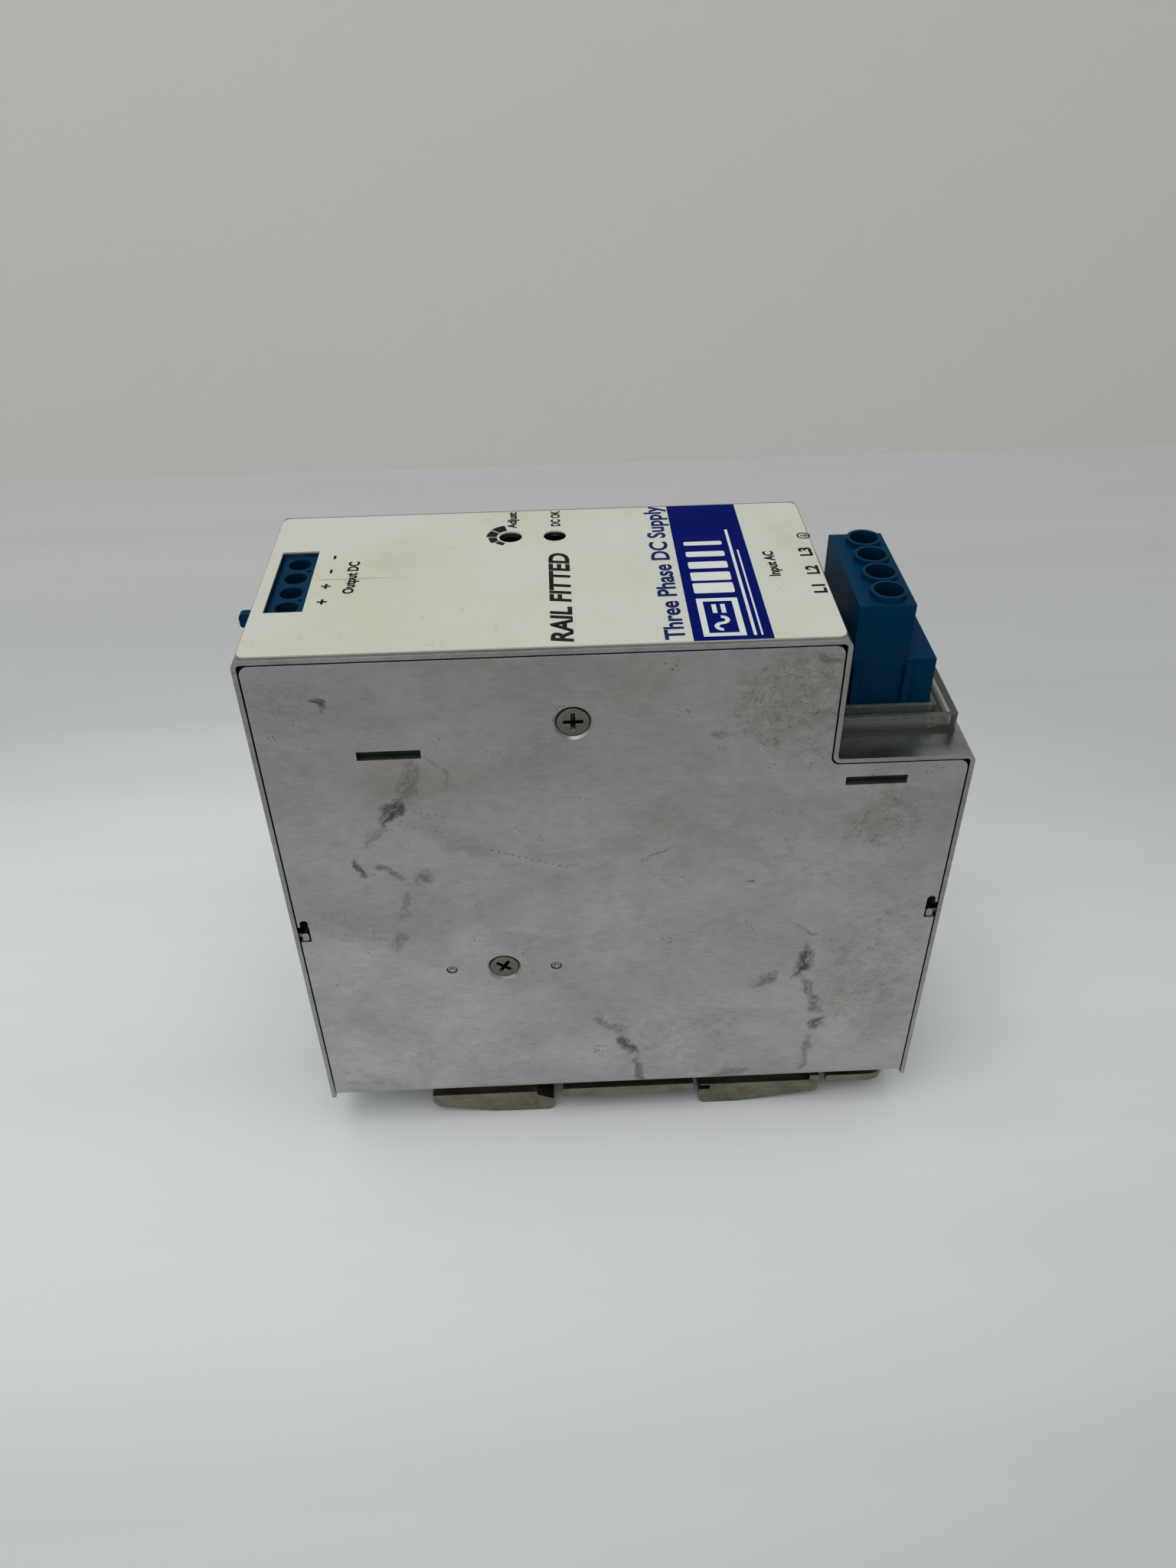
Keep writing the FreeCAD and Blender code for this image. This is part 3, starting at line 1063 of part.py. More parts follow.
# ---------------------------------------------------------------- all of it
def build():
    """Draws every node."""
    make_cover()
    make_chassis()
    make_label()
    make_output_block()
    make_input_block()
    make_input_guard()
    make_rail_bracket()
    make_rail_latch()
    make_latch_springs()
    make_boards()
    make_heat_sinks()
    make_chokes()
    make_transformer()
    make_board_parts()
    make_dial_and_lamp()


def write_parts():
    """Moves every node to the part's own frame and writes one file for each."""
    os.makedirs("parts", exist_ok=True)
    for name, solids in parts.items():
        moved = [solid.translated(ORIGIN_SHIFT) for solid in solids]
        shape = moved[0] if len(moved) == 1 else Part.makeCompound(moved)
        shape.exportStep(f"parts/{name}.step")


build()
write_parts()
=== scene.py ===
"""Looks of a DIN rail power supply, built around its fixed CAD frame.

The sheet metal case, its front label, both terminal blocks, the clear wiring tray, the rail clip and
everything inside keep their CAD shapes and get their finishes here. The print on the label is modelled
as four pieces of its own.
"""
import logging
import math
from dataclasses import dataclass, field
from enum import Enum

import bpy
from mathutils import Matrix, Vector


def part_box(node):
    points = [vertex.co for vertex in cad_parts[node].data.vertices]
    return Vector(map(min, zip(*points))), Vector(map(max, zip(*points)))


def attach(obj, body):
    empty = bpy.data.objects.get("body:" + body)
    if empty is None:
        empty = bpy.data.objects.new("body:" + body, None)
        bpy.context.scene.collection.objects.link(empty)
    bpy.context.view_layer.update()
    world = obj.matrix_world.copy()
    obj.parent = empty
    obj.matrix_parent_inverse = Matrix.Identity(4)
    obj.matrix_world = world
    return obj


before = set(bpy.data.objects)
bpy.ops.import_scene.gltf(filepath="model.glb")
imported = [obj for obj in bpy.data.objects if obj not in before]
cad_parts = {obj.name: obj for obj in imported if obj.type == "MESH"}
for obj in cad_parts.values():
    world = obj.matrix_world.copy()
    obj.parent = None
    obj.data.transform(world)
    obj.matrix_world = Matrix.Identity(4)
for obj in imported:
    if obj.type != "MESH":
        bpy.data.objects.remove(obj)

LOG = logging.getLogger("rail_supply")
MM = 0.001
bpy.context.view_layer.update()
QUARTER_TURN = math.radians(90)
CORNER_STEPS = 6      # sides of a rounded corner
CURVE_STEPS = 3       # points along each curve of a letter
ARC_STEP = 6          # degrees between the points of an arc
WELD_REACH = 1e-7     # metres between points that become one
Tone = tuple[float, float, float]


# ---------------------------------------------------------------- node trees


class Graph:
    """A node tree with short calls that add a node and join it up."""

    def __init__(self, tree: bpy.types.NodeTree) -> None:
        """Keeps the tree.

        Args:
            tree: the node tree that the calls add to.
        """
        self.tree = tree

    def feed(self, socket: bpy.types.NodeSocket, value: object) -> None:
        """Joins or sets one input.

        Args:
            socket: the input.
            value: another node's output, or a plain value.
        """
        if isinstance(value, bpy.types.NodeSocket):
            self.tree.links.new(value, socket)
        elif isinstance(value, tuple) and len(value) == 3 and socket.type == "RGBA":
            socket.default_value = (*value, 1.0)
        else:
            socket.default_value = value

    def add(self, kind: str, inputs: dict | None = None, **settings: object) -> bpy.types.Node:
        """Adds a node.

        Args:
            kind: the node's type name, without "ShaderNode", or NodeGroupInput or NodeGroupOutput.
            inputs: values or outputs for inputs, by name or number.
            settings: the node's own properties.

        Returns:
            The new node.
        """
        node = self.tree.nodes.new(kind if kind.endswith("put") else "ShaderNode" + kind)
        for name, value in settings.items():
            setattr(node, name, value)
        for key, value in (inputs or {}).items():
            self.feed(node.inputs[key], value)
        return node

    def math(self, operation: str, a: object, b: object = 0.0, clamp: bool = False):
        """Returns the output of a Math node on a and b."""
        return self.add("Math", {0: a, 1: b}, operation=operation, use_clamp=clamp).outputs[0]

    def vector(self, operation: str, a: object, b: object):
        """Returns the vector output of a Vector Math node on a and b."""
        return self.add("VectorMath", {0: a, 1: b}, operation=operation).outputs[0]

    def noise(self, vector: object, scale: object, detail: float = 4.0, rough: float = 0.55,
              distortion: float = 0.0):
        """Returns the value of a Noise Texture."""
        inputs = {"Vector": vector, "Scale": scale, "Detail": detail, "Roughness": rough,
                  "Distortion": distortion}
        return self.add("TexNoise", inputs).outputs[0]

    def span(self, value: object, low: object, high: object, to_low: object = 0.0,
             to_high: object = 1.0, smooth: bool = True):
        """Returns value carried from low..high to to_low..to_high, held at both ends."""
        return self.add("MapRange", {0: value, 1: low, 2: high, 3: to_low, 4: to_high},
                        interpolation_type="SMOOTHSTEP" if smooth else "LINEAR").outputs[0]

    def blend(self, factor: object, a: object, b: object, mode: str = "MIX"):
        """Returns colour a mixed with colour b by factor."""
        node = self.add("Mix", data_type="RGBA", blend_type=mode)
        self.feed(node.inputs["Factor"], factor)
        for socket, value in ((node.inputs[6], a), (node.inputs[7], b)):
            self.feed(socket, value)
        return node.outputs[2]

    def tint(self, base: object, mask: object, share: object, tone: Tone):
        """Returns base with a tone laid over it where a mask is bright, as strongly as share says."""
        return self.blend(self.math("MULTIPLY", mask, share), base, tone)

    def place(self, vector: object, turn: object = (0.0, 0.0, 0.0), scale: object = (1.0, 1.0, 1.0),
              at: object = (0.0, 0.0, 0.0)):
        """Returns vector moved, turned and scaled by a Mapping node."""
        return self.add("Mapping", {"Vector": vector, "Location": at, "Rotation": turn, "Scale": scale},
                        vector_type="POINT").outputs[0]

    def group(self, effect: "Effect", **inputs: object) -> bpy.types.Node:
        """Adds an effect's group.

        Args:
            effect: the effect.
            inputs: its inputs, with spaces in names written as underscores.

        Returns:
            The group node.
        """
        node = self.add("Group")
        node.node_tree = effect.tree()
        for name, value in inputs.items():
            self.feed(node.inputs[name.replace("_", " ")], value)
        return node


class Effect:
    """An effect that several materials share, kept as one shader node group."""

    name = "effect"
    inputs: dict[str, tuple[str, object]] = {}
    outputs: dict[str, str] = {}

    def tree(self) -> bpy.types.NodeTree:
        """Returns the group's tree, made the first time it is asked for."""
        found = bpy.data.node_groups.get(self.name)
        if found:
            return found
        tree = bpy.data.node_groups.new(self.name, "ShaderNodeTree")
        for label, (kind, value) in self.inputs.items():
            socket = tree.interface.new_socket(label, in_out="INPUT", socket_type="NodeSocket" + kind)
            socket.default_value = value
        for label, kind in self.outputs.items():
            tree.interface.new_socket(label, in_out="OUTPUT", socket_type="NodeSocket" + kind)
        graph = Graph(tree)
        source = graph.add("NodeGroupInput")
        sink = graph.add("NodeGroupOutput")
        for label, value in self.wire(graph, source.outputs).items():
            graph.feed(sink.inputs[label], value)
        return tree

    def wire(self, graph: Graph, given: object) -> dict[str, object]:
        """Adds the effect's nodes.

        Args:
            graph: the group's tree.
            given: the group's inputs.

        Returns:
            What each output carries.
        """
        raise NotImplementedError


class RoundedEdge(Effect):
    """Slightly rounded edges: a softened normal, and a mask that is bright on edges and corners for
    rubbed edges and painted highlight.
    """

    name = "edge_rub_and_highlight"
    inputs = {"Radius": ("Float", 0.0003), "Gain": ("Float", 3.0), "Breakup": ("Float", 900.0)}
    outputs = {"Mask": "Float", "Normal": "Vector"}

    def wire(self, graph: Graph, given: object) -> dict[str, object]:
        """Compares a softened normal with the true one."""
        soft = graph.add("Bevel", {"Radius": given["Radius"]}, samples=4).outputs[0]
        true = graph.add("NewGeometry").outputs["Normal"]
        dot = graph.add("VectorMath", {0: soft, 1: true}, operation="DOT_PRODUCT").outputs["Value"]
        edge = graph.math("MULTIPLY", graph.math("SUBTRACT", 1.0, dot), given["Gain"])
        where = graph.add("TexCoord").outputs["Object"]
        worn_and_lit = graph.span(graph.noise(where, given["Breakup"], 3.0), 0.35, 0.65, 0.35, 1.0)
        # Mask: rubbed edges and painted highlight; Normal: the softened edge
        return {"Mask": graph.math("MULTIPLY", edge, worn_and_lit, clamp=True), "Normal": soft}


class RolledGrain(Effect):
    """The fine lines that rolling leaves in sheet metal, and the slow change of tone under them."""

    name = "rolled_grain"
    inputs = {"Vector": ("Vector", (0.0, 0.0, 0.0))}
    outputs = {"Lines": "Float", "Cloud": "Float", "Fine": "Float", "Mottle": "Float"}

    def wire(self, graph: Graph, given: object) -> dict[str, object]:
        """Stretches noise along the rolling direction."""
        where = given["Vector"]
        lines = graph.noise(graph.place(where, scale=(300.0, 2400.0, 2400.0)), 1.0, 4.0, 0.6)
        fine = graph.noise(graph.place(where, scale=(1500.0, 3600.0, 3600.0)), 1.0, 2.0, 0.5)
        cloud = graph.noise(graph.place(where, scale=(40.0, 70.0, 70.0)), 1.0, 8.0, 0.68, 0.5)
        mottle = graph.noise(graph.place(where, scale=(420.0, 560.0, 560.0)), 1.0, 5.0, 0.7, 0.4)
        return {"Lines": lines, "Cloud": cloud, "Fine": fine, "Mottle": mottle}


class Grime(Effect):
    """Handling dirt: a cloudy film, and small dark specks gathered in it."""

    name = "handling_grime"
    inputs = {"Vector": ("Vector", (0.0, 0.0, 0.0)), "Film Scale": ("Float", 60.0),
              "Speck Scale": ("Float", 900.0), "Cover": ("Float", 0.4)}
    outputs = {"Film": "Float", "Specks": "Float"}

    def wire(self, graph: Graph, given: object) -> dict[str, object]:
        """Thresholds clouds for the film, and scattered dots for the specks."""
        cloud = graph.noise(given["Vector"], given["Film Scale"], 7.0, 0.62, 0.6)
        edge = graph.math("SUBTRACT", 0.72, graph.math("MULTIPLY", given["Cover"], 0.3))
        film = graph.span(cloud, edge, graph.math("ADD", edge, 0.2))
        dots = graph.add("TexVoronoi", {"Vector": given["Vector"], "Scale": given["Speck Scale"]})
        size = graph.noise(given["Vector"], graph.math("MULTIPLY", given["Film Scale"], 4.0), 3.0)
        reach = graph.span(size, 0.5, 0.78, 0.0, 0.34)
        inside = graph.math("LESS_THAN", dots.outputs["Distance"], reach)
        return {"Film": film, "Specks": inside}


class Smear(Effect):
    """One rubbed mark: dark and ragged inside an oval, gone outside it.

    Attributes:
        warp: how far its outline wanders, in metres.
    """

    name = "rubbed_mark"
    warp = 0.005
    inputs = {"Vector": ("Vector", (0.0, 0.0, 0.0)), "Centre": ("Vector", (0.0, 0.0, 0.0)),
              "Turn": ("Vector", (0.0, 0.0, 0.0)), "Shrink": ("Vector", (1.0, 1.0, 1.0)),
              "Grit": ("Float", 700.0)}
    outputs = {"Mask": "Float"}

    def wire(self, graph: Graph, given: object) -> dict[str, object]:
        """Fades noise with the distance from the centre, after a little warping."""
        warp = graph.add("TexNoise", {"Vector": given["Vector"], "Scale": 260.0, "Detail": 3.0})
        bend = graph.vector("SUBTRACT", warp.outputs[1], (0.5, 0.5, 0.5))
        push = graph.add("VectorMath", {0: bend, "Scale": self.warp}, operation="SCALE").outputs[0]
        local = graph.vector("SUBTRACT", graph.vector("ADD", given["Vector"], push), given["Centre"])
        turned = graph.place(local, turn=given["Turn"])
        oval = graph.vector("MULTIPLY", turned, given["Shrink"])
        far = graph.add("VectorMath", {0: oval}, operation="LENGTH").outputs["Value"]
        fade = graph.span(far, 0.2, 1.2, 1.0, 0.0)
        strokes = graph.noise(graph.place(turned, scale=(0.35, 1.0, 1.3)), given["Grit"], 6.0, 0.72)
        torn = graph.noise(given["Vector"], 420.0, 4.0, 0.7)
        heavy = graph.math("ADD", fade, graph.math("MULTIPLY", graph.math("SUBTRACT", torn, 0.5), 1.3))
        body = graph.span(heavy, 0.3, 0.95)
        return {"Mask": graph.math("MULTIPLY", body, graph.span(strokes, 0.36, 0.56, 0.2, 1.0))}


class DottedScratch(Effect):
    """A row of small dents left where something ridged was drawn along a sheet.

    Attributes:
        step: how far apart the dents are, in metres.
        core: the radius that is fully dark, in metres.
        rim: the radius where the dent ends, in metres.
    """

    name = "dotted_scratch"
    step, core, rim = 0.00125, 0.00008, 0.00024
    inputs = {"Vector": ("Vector", (0.0, 0.0, 0.0)), "Start": ("Vector", (0.0, 0.0, 0.0)),
              "Turn": ("Vector", (0.0, 0.0, 0.0)), "Length": ("Float", 0.02)}
    outputs = {"Mask": "Float"}

    def wire(self, graph: Graph, given: object) -> dict[str, object]:
        """Repeats a dot along a line that starts at Start and runs along the turned X."""
        local = graph.vector("SUBTRACT", given["Vector"], given["Start"])
        axes = graph.add("SeparateXYZ", {0: graph.place(local, turn=given["Turn"])}).outputs
        count = graph.math("DIVIDE", axes[0], self.step)
        phase = graph.math("SUBTRACT", graph.math("FRACT", count), 0.5)
        along = graph.math("MULTIPLY", phase, self.step)
        square = graph.math("ADD", graph.math("MULTIPLY", along, along),
                            graph.math("MULTIPLY", axes[2], axes[2]))
        dot = graph.span(graph.math("SQRT", square), self.core, self.rim, 1.0, 0.0)
        begun = graph.math("GREATER_THAN", axes[0], 0.0)
        ended = graph.math("LESS_THAN", axes[0], given["Length"])
        return {"Mask": graph.math("MULTIPLY", dot, graph.math("MULTIPLY", begun, ended))}


class Hairlines(Effect):
    """Fine handling scratches in two crossing directions."""

    name = "hairline_scratches"
    inputs = {"Vector": ("Vector", (0.0, 0.0, 0.0)), "Scale": ("Float", 60.0),
              "Width": ("Float", 0.012)}
    outputs = {"Mask": "Float"}

    def wire(self, graph: Graph, given: object) -> dict[str, object]:
        """Keeps a thin band of stretched noise, broken up by coarser noise."""
        total: object = 0.0
        for turn in (0.5, 2.2):
            along = graph.place(graph.place(given["Vector"], turn=(turn, turn, turn)),
                                scale=(0.35, 9.0, 9.0))
            wave = graph.noise(along, given["Scale"], 2.0, 0.4)
            near = graph.math("ABSOLUTE", graph.math("SUBTRACT", wave, 0.5))
            line = graph.span(near, 0.0, given["Width"], 1.0, 0.0)
            broken = graph.span(graph.noise(given["Vector"], 130.0 * turn, 2.0), 0.52, 0.62)
            total = graph.math("MAXIMUM", total, graph.math("MULTIPLY", line, broken))
        return {"Mask": total}


class RecessShade(Effect):
    """Painted shade in holes, recesses and inside corners: a mask that is bright deep in them."""

    name = "painted_recess_shade"
    inputs = {"Distance": ("Float", 0.002)}
    outputs = {"Mask": "Float"}

    def wire(self, graph: Graph, given: object) -> dict[str, object]:
        """Measures how much of the surroundings is hidden."""
        # painted shade: the mask is bright where little open air is seen
        open_air = graph.add("AmbientOcclusion", {"Distance": given["Distance"]}, samples=4,
                             only_local=True).outputs["AO"]
        return {"Mask": graph.span(open_air, 0.12, 0.62, 1.0, 0.0)}


EDGE, GRAIN, GRIME = RoundedEdge(), RolledGrain(), Grime()
SMEAR, DOTTED, HAIRLINES, RECESS_SHADE = Smear(), DottedScratch(), Hairlines(), RecessShade()


# ---------------------------------------------------------------- finishes


# Tones of dirt, rubbed metal, painted shade and painted highlight, linear.
SOOT: Tone = (0.016, 0.015, 0.013)
SOOT_SPECK: Tone = (0.04, 0.035, 0.03)
# painted shade, near black, deep in holes and recesses
HOLLOW_SHADE: Tone = (0.006, 0.006, 0.005)
DUST: Tone = (0.42, 0.41, 0.38)
# edges lightened by rubbing and by painted highlight
EDGE_RUB_AND_HIGHLIGHT: Tone = (0.60, 0.60, 0.57)
SCUFFED: Tone = (0.58, 0.58, 0.55)


@dataclass(frozen=True)
class Finish:
    """What every finish has: a name, a tone and a gloss.

    Attributes:
        name: the material's name.
        tone: its main colour, linear.
        rough: its roughness, 0 to 1.
    """

    name: str
    tone: Tone
    rough: float = 0.5

    def material(self) -> bpy.types.Material:
        """Returns the material, made the first time it is asked for."""
        found = bpy.data.materials.get("finish_" + self.name)
        if found:
            return found
        material = bpy.data.materials.new("finish_" + self.name)
        material.use_nodes = True
        material.node_tree.nodes.clear()
        graph = Graph(material.node_tree)
        shader = graph.add("BsdfPrincipled")
        sink = graph.add("OutputMaterial")
        graph.feed(sink.inputs["Surface"], shader.outputs[0])
        where = graph.add("TexCoord").outputs["Object"]
        self.wire(graph, shader.inputs, where)
        return material

    def wire(self, graph: Graph, shader: object, where: object) -> None:
        """Adds the finish's own nodes.

        Args:
            graph: the material's tree.
            shader: the inputs of its Principled BSDF.
            where: object coordinates.
        """
        raise NotImplementedError

    def scaled(self, *factors: float) -> Tone:
        """Returns the main colour times one factor, or times one for each of its channels."""
        return tuple(c * f for c, f in zip(self.tone, factors if len(factors) > 1 else factors * 3))

    def gloss(self, graph: Graph, shader: object, mask: object, seen: tuple[float, float],
              change: tuple[float, float]) -> None:
        """Varies the roughness with a mask.

        Args:
            graph: the material's tree.
            shader: the inputs of its Principled BSDF.
            mask: the mask's output.
            seen: the mask's values that the change runs between.
            change: what is added to the finish's own roughness at each end.
        """
        low, high = (self.rough + part for part in change)
        graph.feed(shader["Roughness"], graph.span(mask, *seen, low, high))

    def bump(self, graph: Graph, height: object, distance: float, normal: object = None,
             strength: float = 0.5) -> object:
        """Returns a bumped normal.

        Args:
            graph: the material's tree.
            height: the height's output.
            distance: how deep it is, in metres.
            normal: a normal to add it to.
            strength: how strongly it shows.
        """
        inputs = {"Strength": strength, "Distance": distance, "Height": height}
        if normal is not None:
            inputs["Normal"] = normal
        return graph.add("Bump", inputs).outputs[0]


@dataclass(frozen=True)
class Rub:
    """A rubbed mark on the near panel, in millimetres along it and up it.

    Attributes:
        at: the mark's middle.
        half: its half length and half width.
        turn: how far its length leans from the horizontal, in degrees.
        dark: how dark it is, 0 to 1.
    """

    at: tuple[float, float]
    half: tuple[float, float]
    turn: float
    dark: float


@dataclass(frozen=True)
class Row:
    """A dotted scratch on the near panel, in millimetres along it and up it.

    Attributes:
        start: where it starts.
        length: how long it is.
        turn: how far it leans from the horizontal, in degrees.
        dark: how dark it is, 0 to 1.
    """

    start: tuple[float, float]
    length: float
    turn: float
    dark: float


@dataclass(frozen=True)
class SheetMetal(Finish):
    """Bare aluminium sheet with rolled grain, handling grime, rubbed marks, painted shade that darkens
    it towards the top, and edges lightened by rubbing and painted highlight.

    Attributes:
        grime: how much dirt the sheet carries, 0 to 1.
        top_shade: the heights that a brownish painted shade, darker towards the top, begins and is full
            at, in metres, where there are stains.
        edge_radius: how wide the bright band of rubbed edge and painted highlight along its edges is,
            in metres.
        spread: how much wider marks fade out than their half sizes say.
        depth: how far into the sheet marks reach from the near face, in millimetres.
        origin: the near lower corner that marks are measured from, in metres.
        rubs: dark rubbed marks.
        stains: soft brownish areas.
        specks: areas of small dark pits, pale flecks and blots.
        dotted: dotted scratches.
    """

    grime: float = 0.5
    top_shade: tuple[float, float] = (0.05, 0.125)
    edge_radius: float = 0.00012
    spread: float = 1.65
    depth: float = 2.0
    origin: tuple[float, float, float] = (0.0, 0.0, 0.0)
    rubs: tuple[Rub, ...] = ()
    stains: tuple[Rub, ...] = ()
    specks: tuple[Rub, ...] = ()
    dotted: tuple[Row, ...] = ()

    def point(self, at: tuple[float, float]) -> Tone:
        """Returns the place, in metres, of a point given in millimetres along and up the near face."""
        return (self.origin[0] + at[0] * MM, self.origin[1], self.origin[2] + at[1] * MM)

    def ovals(self, graph: Graph, where: object, marks: tuple[Rub, ...], grit: float) -> object:
        """Returns the strongest of several oval marks at each point."""
        total: object = 0.0
        for mark in marks:
            reach = self.spread * MM
            shrink = (1 / (mark.half[0] * reach), 1 / (self.depth * MM), 1 / (mark.half[1] * reach))
            turn = (0.0, math.radians(mark.turn), 0.0)
            oval = graph.group(SMEAR, Vector=where, Centre=self.point(mark.at), Grit=grit,
                               Shrink=shrink, Turn=turn).outputs[0]
            total = graph.math("MAXIMUM", total, graph.math("MULTIPLY", oval, mark.dark))
        return total

    def dots(self, graph: Graph, where: object) -> object:
        """Returns the mask of the dotted scratches."""
        total: object = 0.0
        for row in self.dotted:
            turn = (0.0, math.radians(row.turn), 0.0)
            dents = graph.group(DOTTED, Vector=where, Start=self.point(row.start), Turn=turn,
                                Length=row.length * MM).outputs[0]
            total = graph.math("MAXIMUM", total, graph.math("MULTIPLY", dents, row.dark))
        return total

    def wire(self, graph: Graph, shader: object, where: object) -> None:
        """Layers grain, grime, marks, painted shade towards the top, and rubbed edges with painted
        highlight on bare metal.
        """
        grain = graph.group(GRAIN, Vector=where).outputs
        dirt = graph.group(GRIME, Vector=where, Film_Scale=42.0, Speck_Scale=1500.0,
                           Cover=self.grime).outputs
        edge = graph.group(EDGE, Radius=self.edge_radius, Gain=1.2, Breakup=500.0).outputs
        hair = graph.group(HAIRLINES, Vector=where, Scale=55.0, Width=0.01).outputs[0]
        dull, pale = self.scaled(0.84), self.scaled(1.12)
        base = graph.blend(graph.span(grain["Cloud"], 0.3, 0.7), dull, pale)
        lines = graph.span(graph.math("ADD", grain["Lines"], grain["Mottle"]), 0.7, 1.3, 0.89, 1.07)
        base = graph.blend(1.0, base, lines, "MULTIPLY")
        brown = self.scaled(0.62, 0.58, 0.47)
        base = graph.tint(base, dirt["Film"], 0.35 * self.grime, brown)
        rough = graph.span(grain["Cloud"], 0.25, 0.75, self.rough - 0.05, self.rough + 0.07)
        marks: object = graph.math("MULTIPLY", dirt["Specks"], 0.75 * self.grime)
        if self.stains:
            # painted shade: browner and darker towards the top of the sheet
            height = graph.add("SeparateXYZ", {0: where}).outputs[2]
            top_shading = graph.span(height, self.top_shade[0], self.top_shade[1], 0.0, 0.34)
            base = graph.blend(top_shading, base, brown)
            stain = self.ovals(graph, where, self.stains, 240.0)
            base = graph.blend(stain, base, brown)
        if self.rubs:
            marks = graph.math("MAXIMUM", marks, self.ovals(graph, where, self.rubs, 900.0))
        if self.specks:
            area = self.ovals(graph, where, self.specks, 500.0)
            fine = graph.add("TexVoronoi", {"Vector": where, "Scale": 2100.0}).outputs["Distance"]
            pit = graph.span(fine, 0.12, 0.3, 1.0, 0.0)
            marks = graph.math("MAXIMUM", marks, graph.math("MULTIPLY", pit, area))
            flecks = graph.span(grain["Mottle"], 0.5, 0.7, 0.0, 0.5)
            base = graph.tint(base, flecks, area, SCUFFED)
            blots = graph.span(grain["Mottle"], 0.47, 0.33, 0.0, 0.42)
            marks = graph.math("MAXIMUM", marks, graph.math("MULTIPLY", blots, area))
        if self.dotted:
            marks = graph.math("MAXIMUM", marks, self.dots(graph, where))
        base = graph.tint(base, marks, 0.95, SOOT)
        base = graph.tint(base, hair, 0.35, pale)
        # edges lightened: rubbing and painted highlight
        base = graph.tint(base, edge["Mask"], 0.3, EDGE_RUB_AND_HIGHLIGHT)
        graph.feed(shader["Base Color"], base)
        shader["Metallic"].default_value = 1.0
        graph.feed(shader["Metallic"], graph.span(marks, 0.0, 1.0, 1.0, 0.25))
        graph.feed(shader["Roughness"], graph.math("ADD", rough, graph.math("MULTIPLY", marks, 0.2)))
        fine = graph.math("SUBTRACT", graph.math("ADD", grain["Fine"], grain["Lines"]), hair)
        graph.feed(shader["Normal"], self.bump(graph, fine, 0.00002, edge["Normal"], 0.22))


@dataclass(frozen=True)
class Moulding(Finish):
    """Moulded plastic: a fine sparked texture, patchy dust, painted shade in holes and inside corners,
    and edges lightened by rubbing and painted highlight.

    Attributes:
        edge_tone: the colour of its lightened edges, rubbed and with painted highlight.
        dust: how much pale dust lies on it, 0 to 1.
        texture: how coarse the sparked texture is, per metre.
        shade: how strongly painted shade darkens holes and inside corners, 0 to 1.
        specular: how strong its reflections are, 0.5 for plain plastic.
        coat: how much clear gloss lies over it, 0 to 1.
    """

    edge_tone: Tone = (0.5, 0.5, 0.5)
    dust: float = 0.15
    texture: float = 2600.0
    shade: float = 0.4
    specular: float = 0.5
    coat: float = 0.0

    def wire(self, graph: Graph, shader: object, where: object) -> None:
        """Shades the moulding."""
        edge = graph.group(EDGE, Radius=0.00022, Gain=1.8, Breakup=700.0).outputs
        dirt = graph.group(GRIME, Vector=where, Film_Scale=140.0, Speck_Scale=1300.0, Cover=0.5).outputs
        slow = graph.noise(where, 90.0, 4.0)
        base = graph.blend(graph.span(slow, 0.3, 0.7), self.scaled(0.82), self.tone)
        # edges lightened: rubbing and painted highlight
        base = graph.tint(base, edge["Mask"], 0.55, self.edge_tone)
        # painted shade deep in holes and inside corners
        shaded_in = graph.group(RECESS_SHADE, Distance=0.006).outputs[0]
        base = graph.tint(base, shaded_in, self.shade, self.scaled(0.12))
        dusty = graph.math("MULTIPLY", graph.math("ADD", dirt["Film"], dirt["Specks"], clamp=True),
                           self.dust)
        base = graph.blend(dusty, base, DUST)
        graph.feed(shader["Base Color"], base)
        shader["Specular IOR Level"].default_value = self.specular
        shader["Coat Weight"].default_value = self.coat
        shader["Coat Roughness"].default_value = 0.12
        spark = graph.noise(where, self.texture, 2.0, 0.5)
        self.gloss(graph, shader, graph.math("ADD", slow, dusty), (0.3, 0.9), (-0.05, 0.14))
        graph.feed(shader["Normal"], self.bump(graph, spark, 0.00002, edge["Normal"], 0.3))


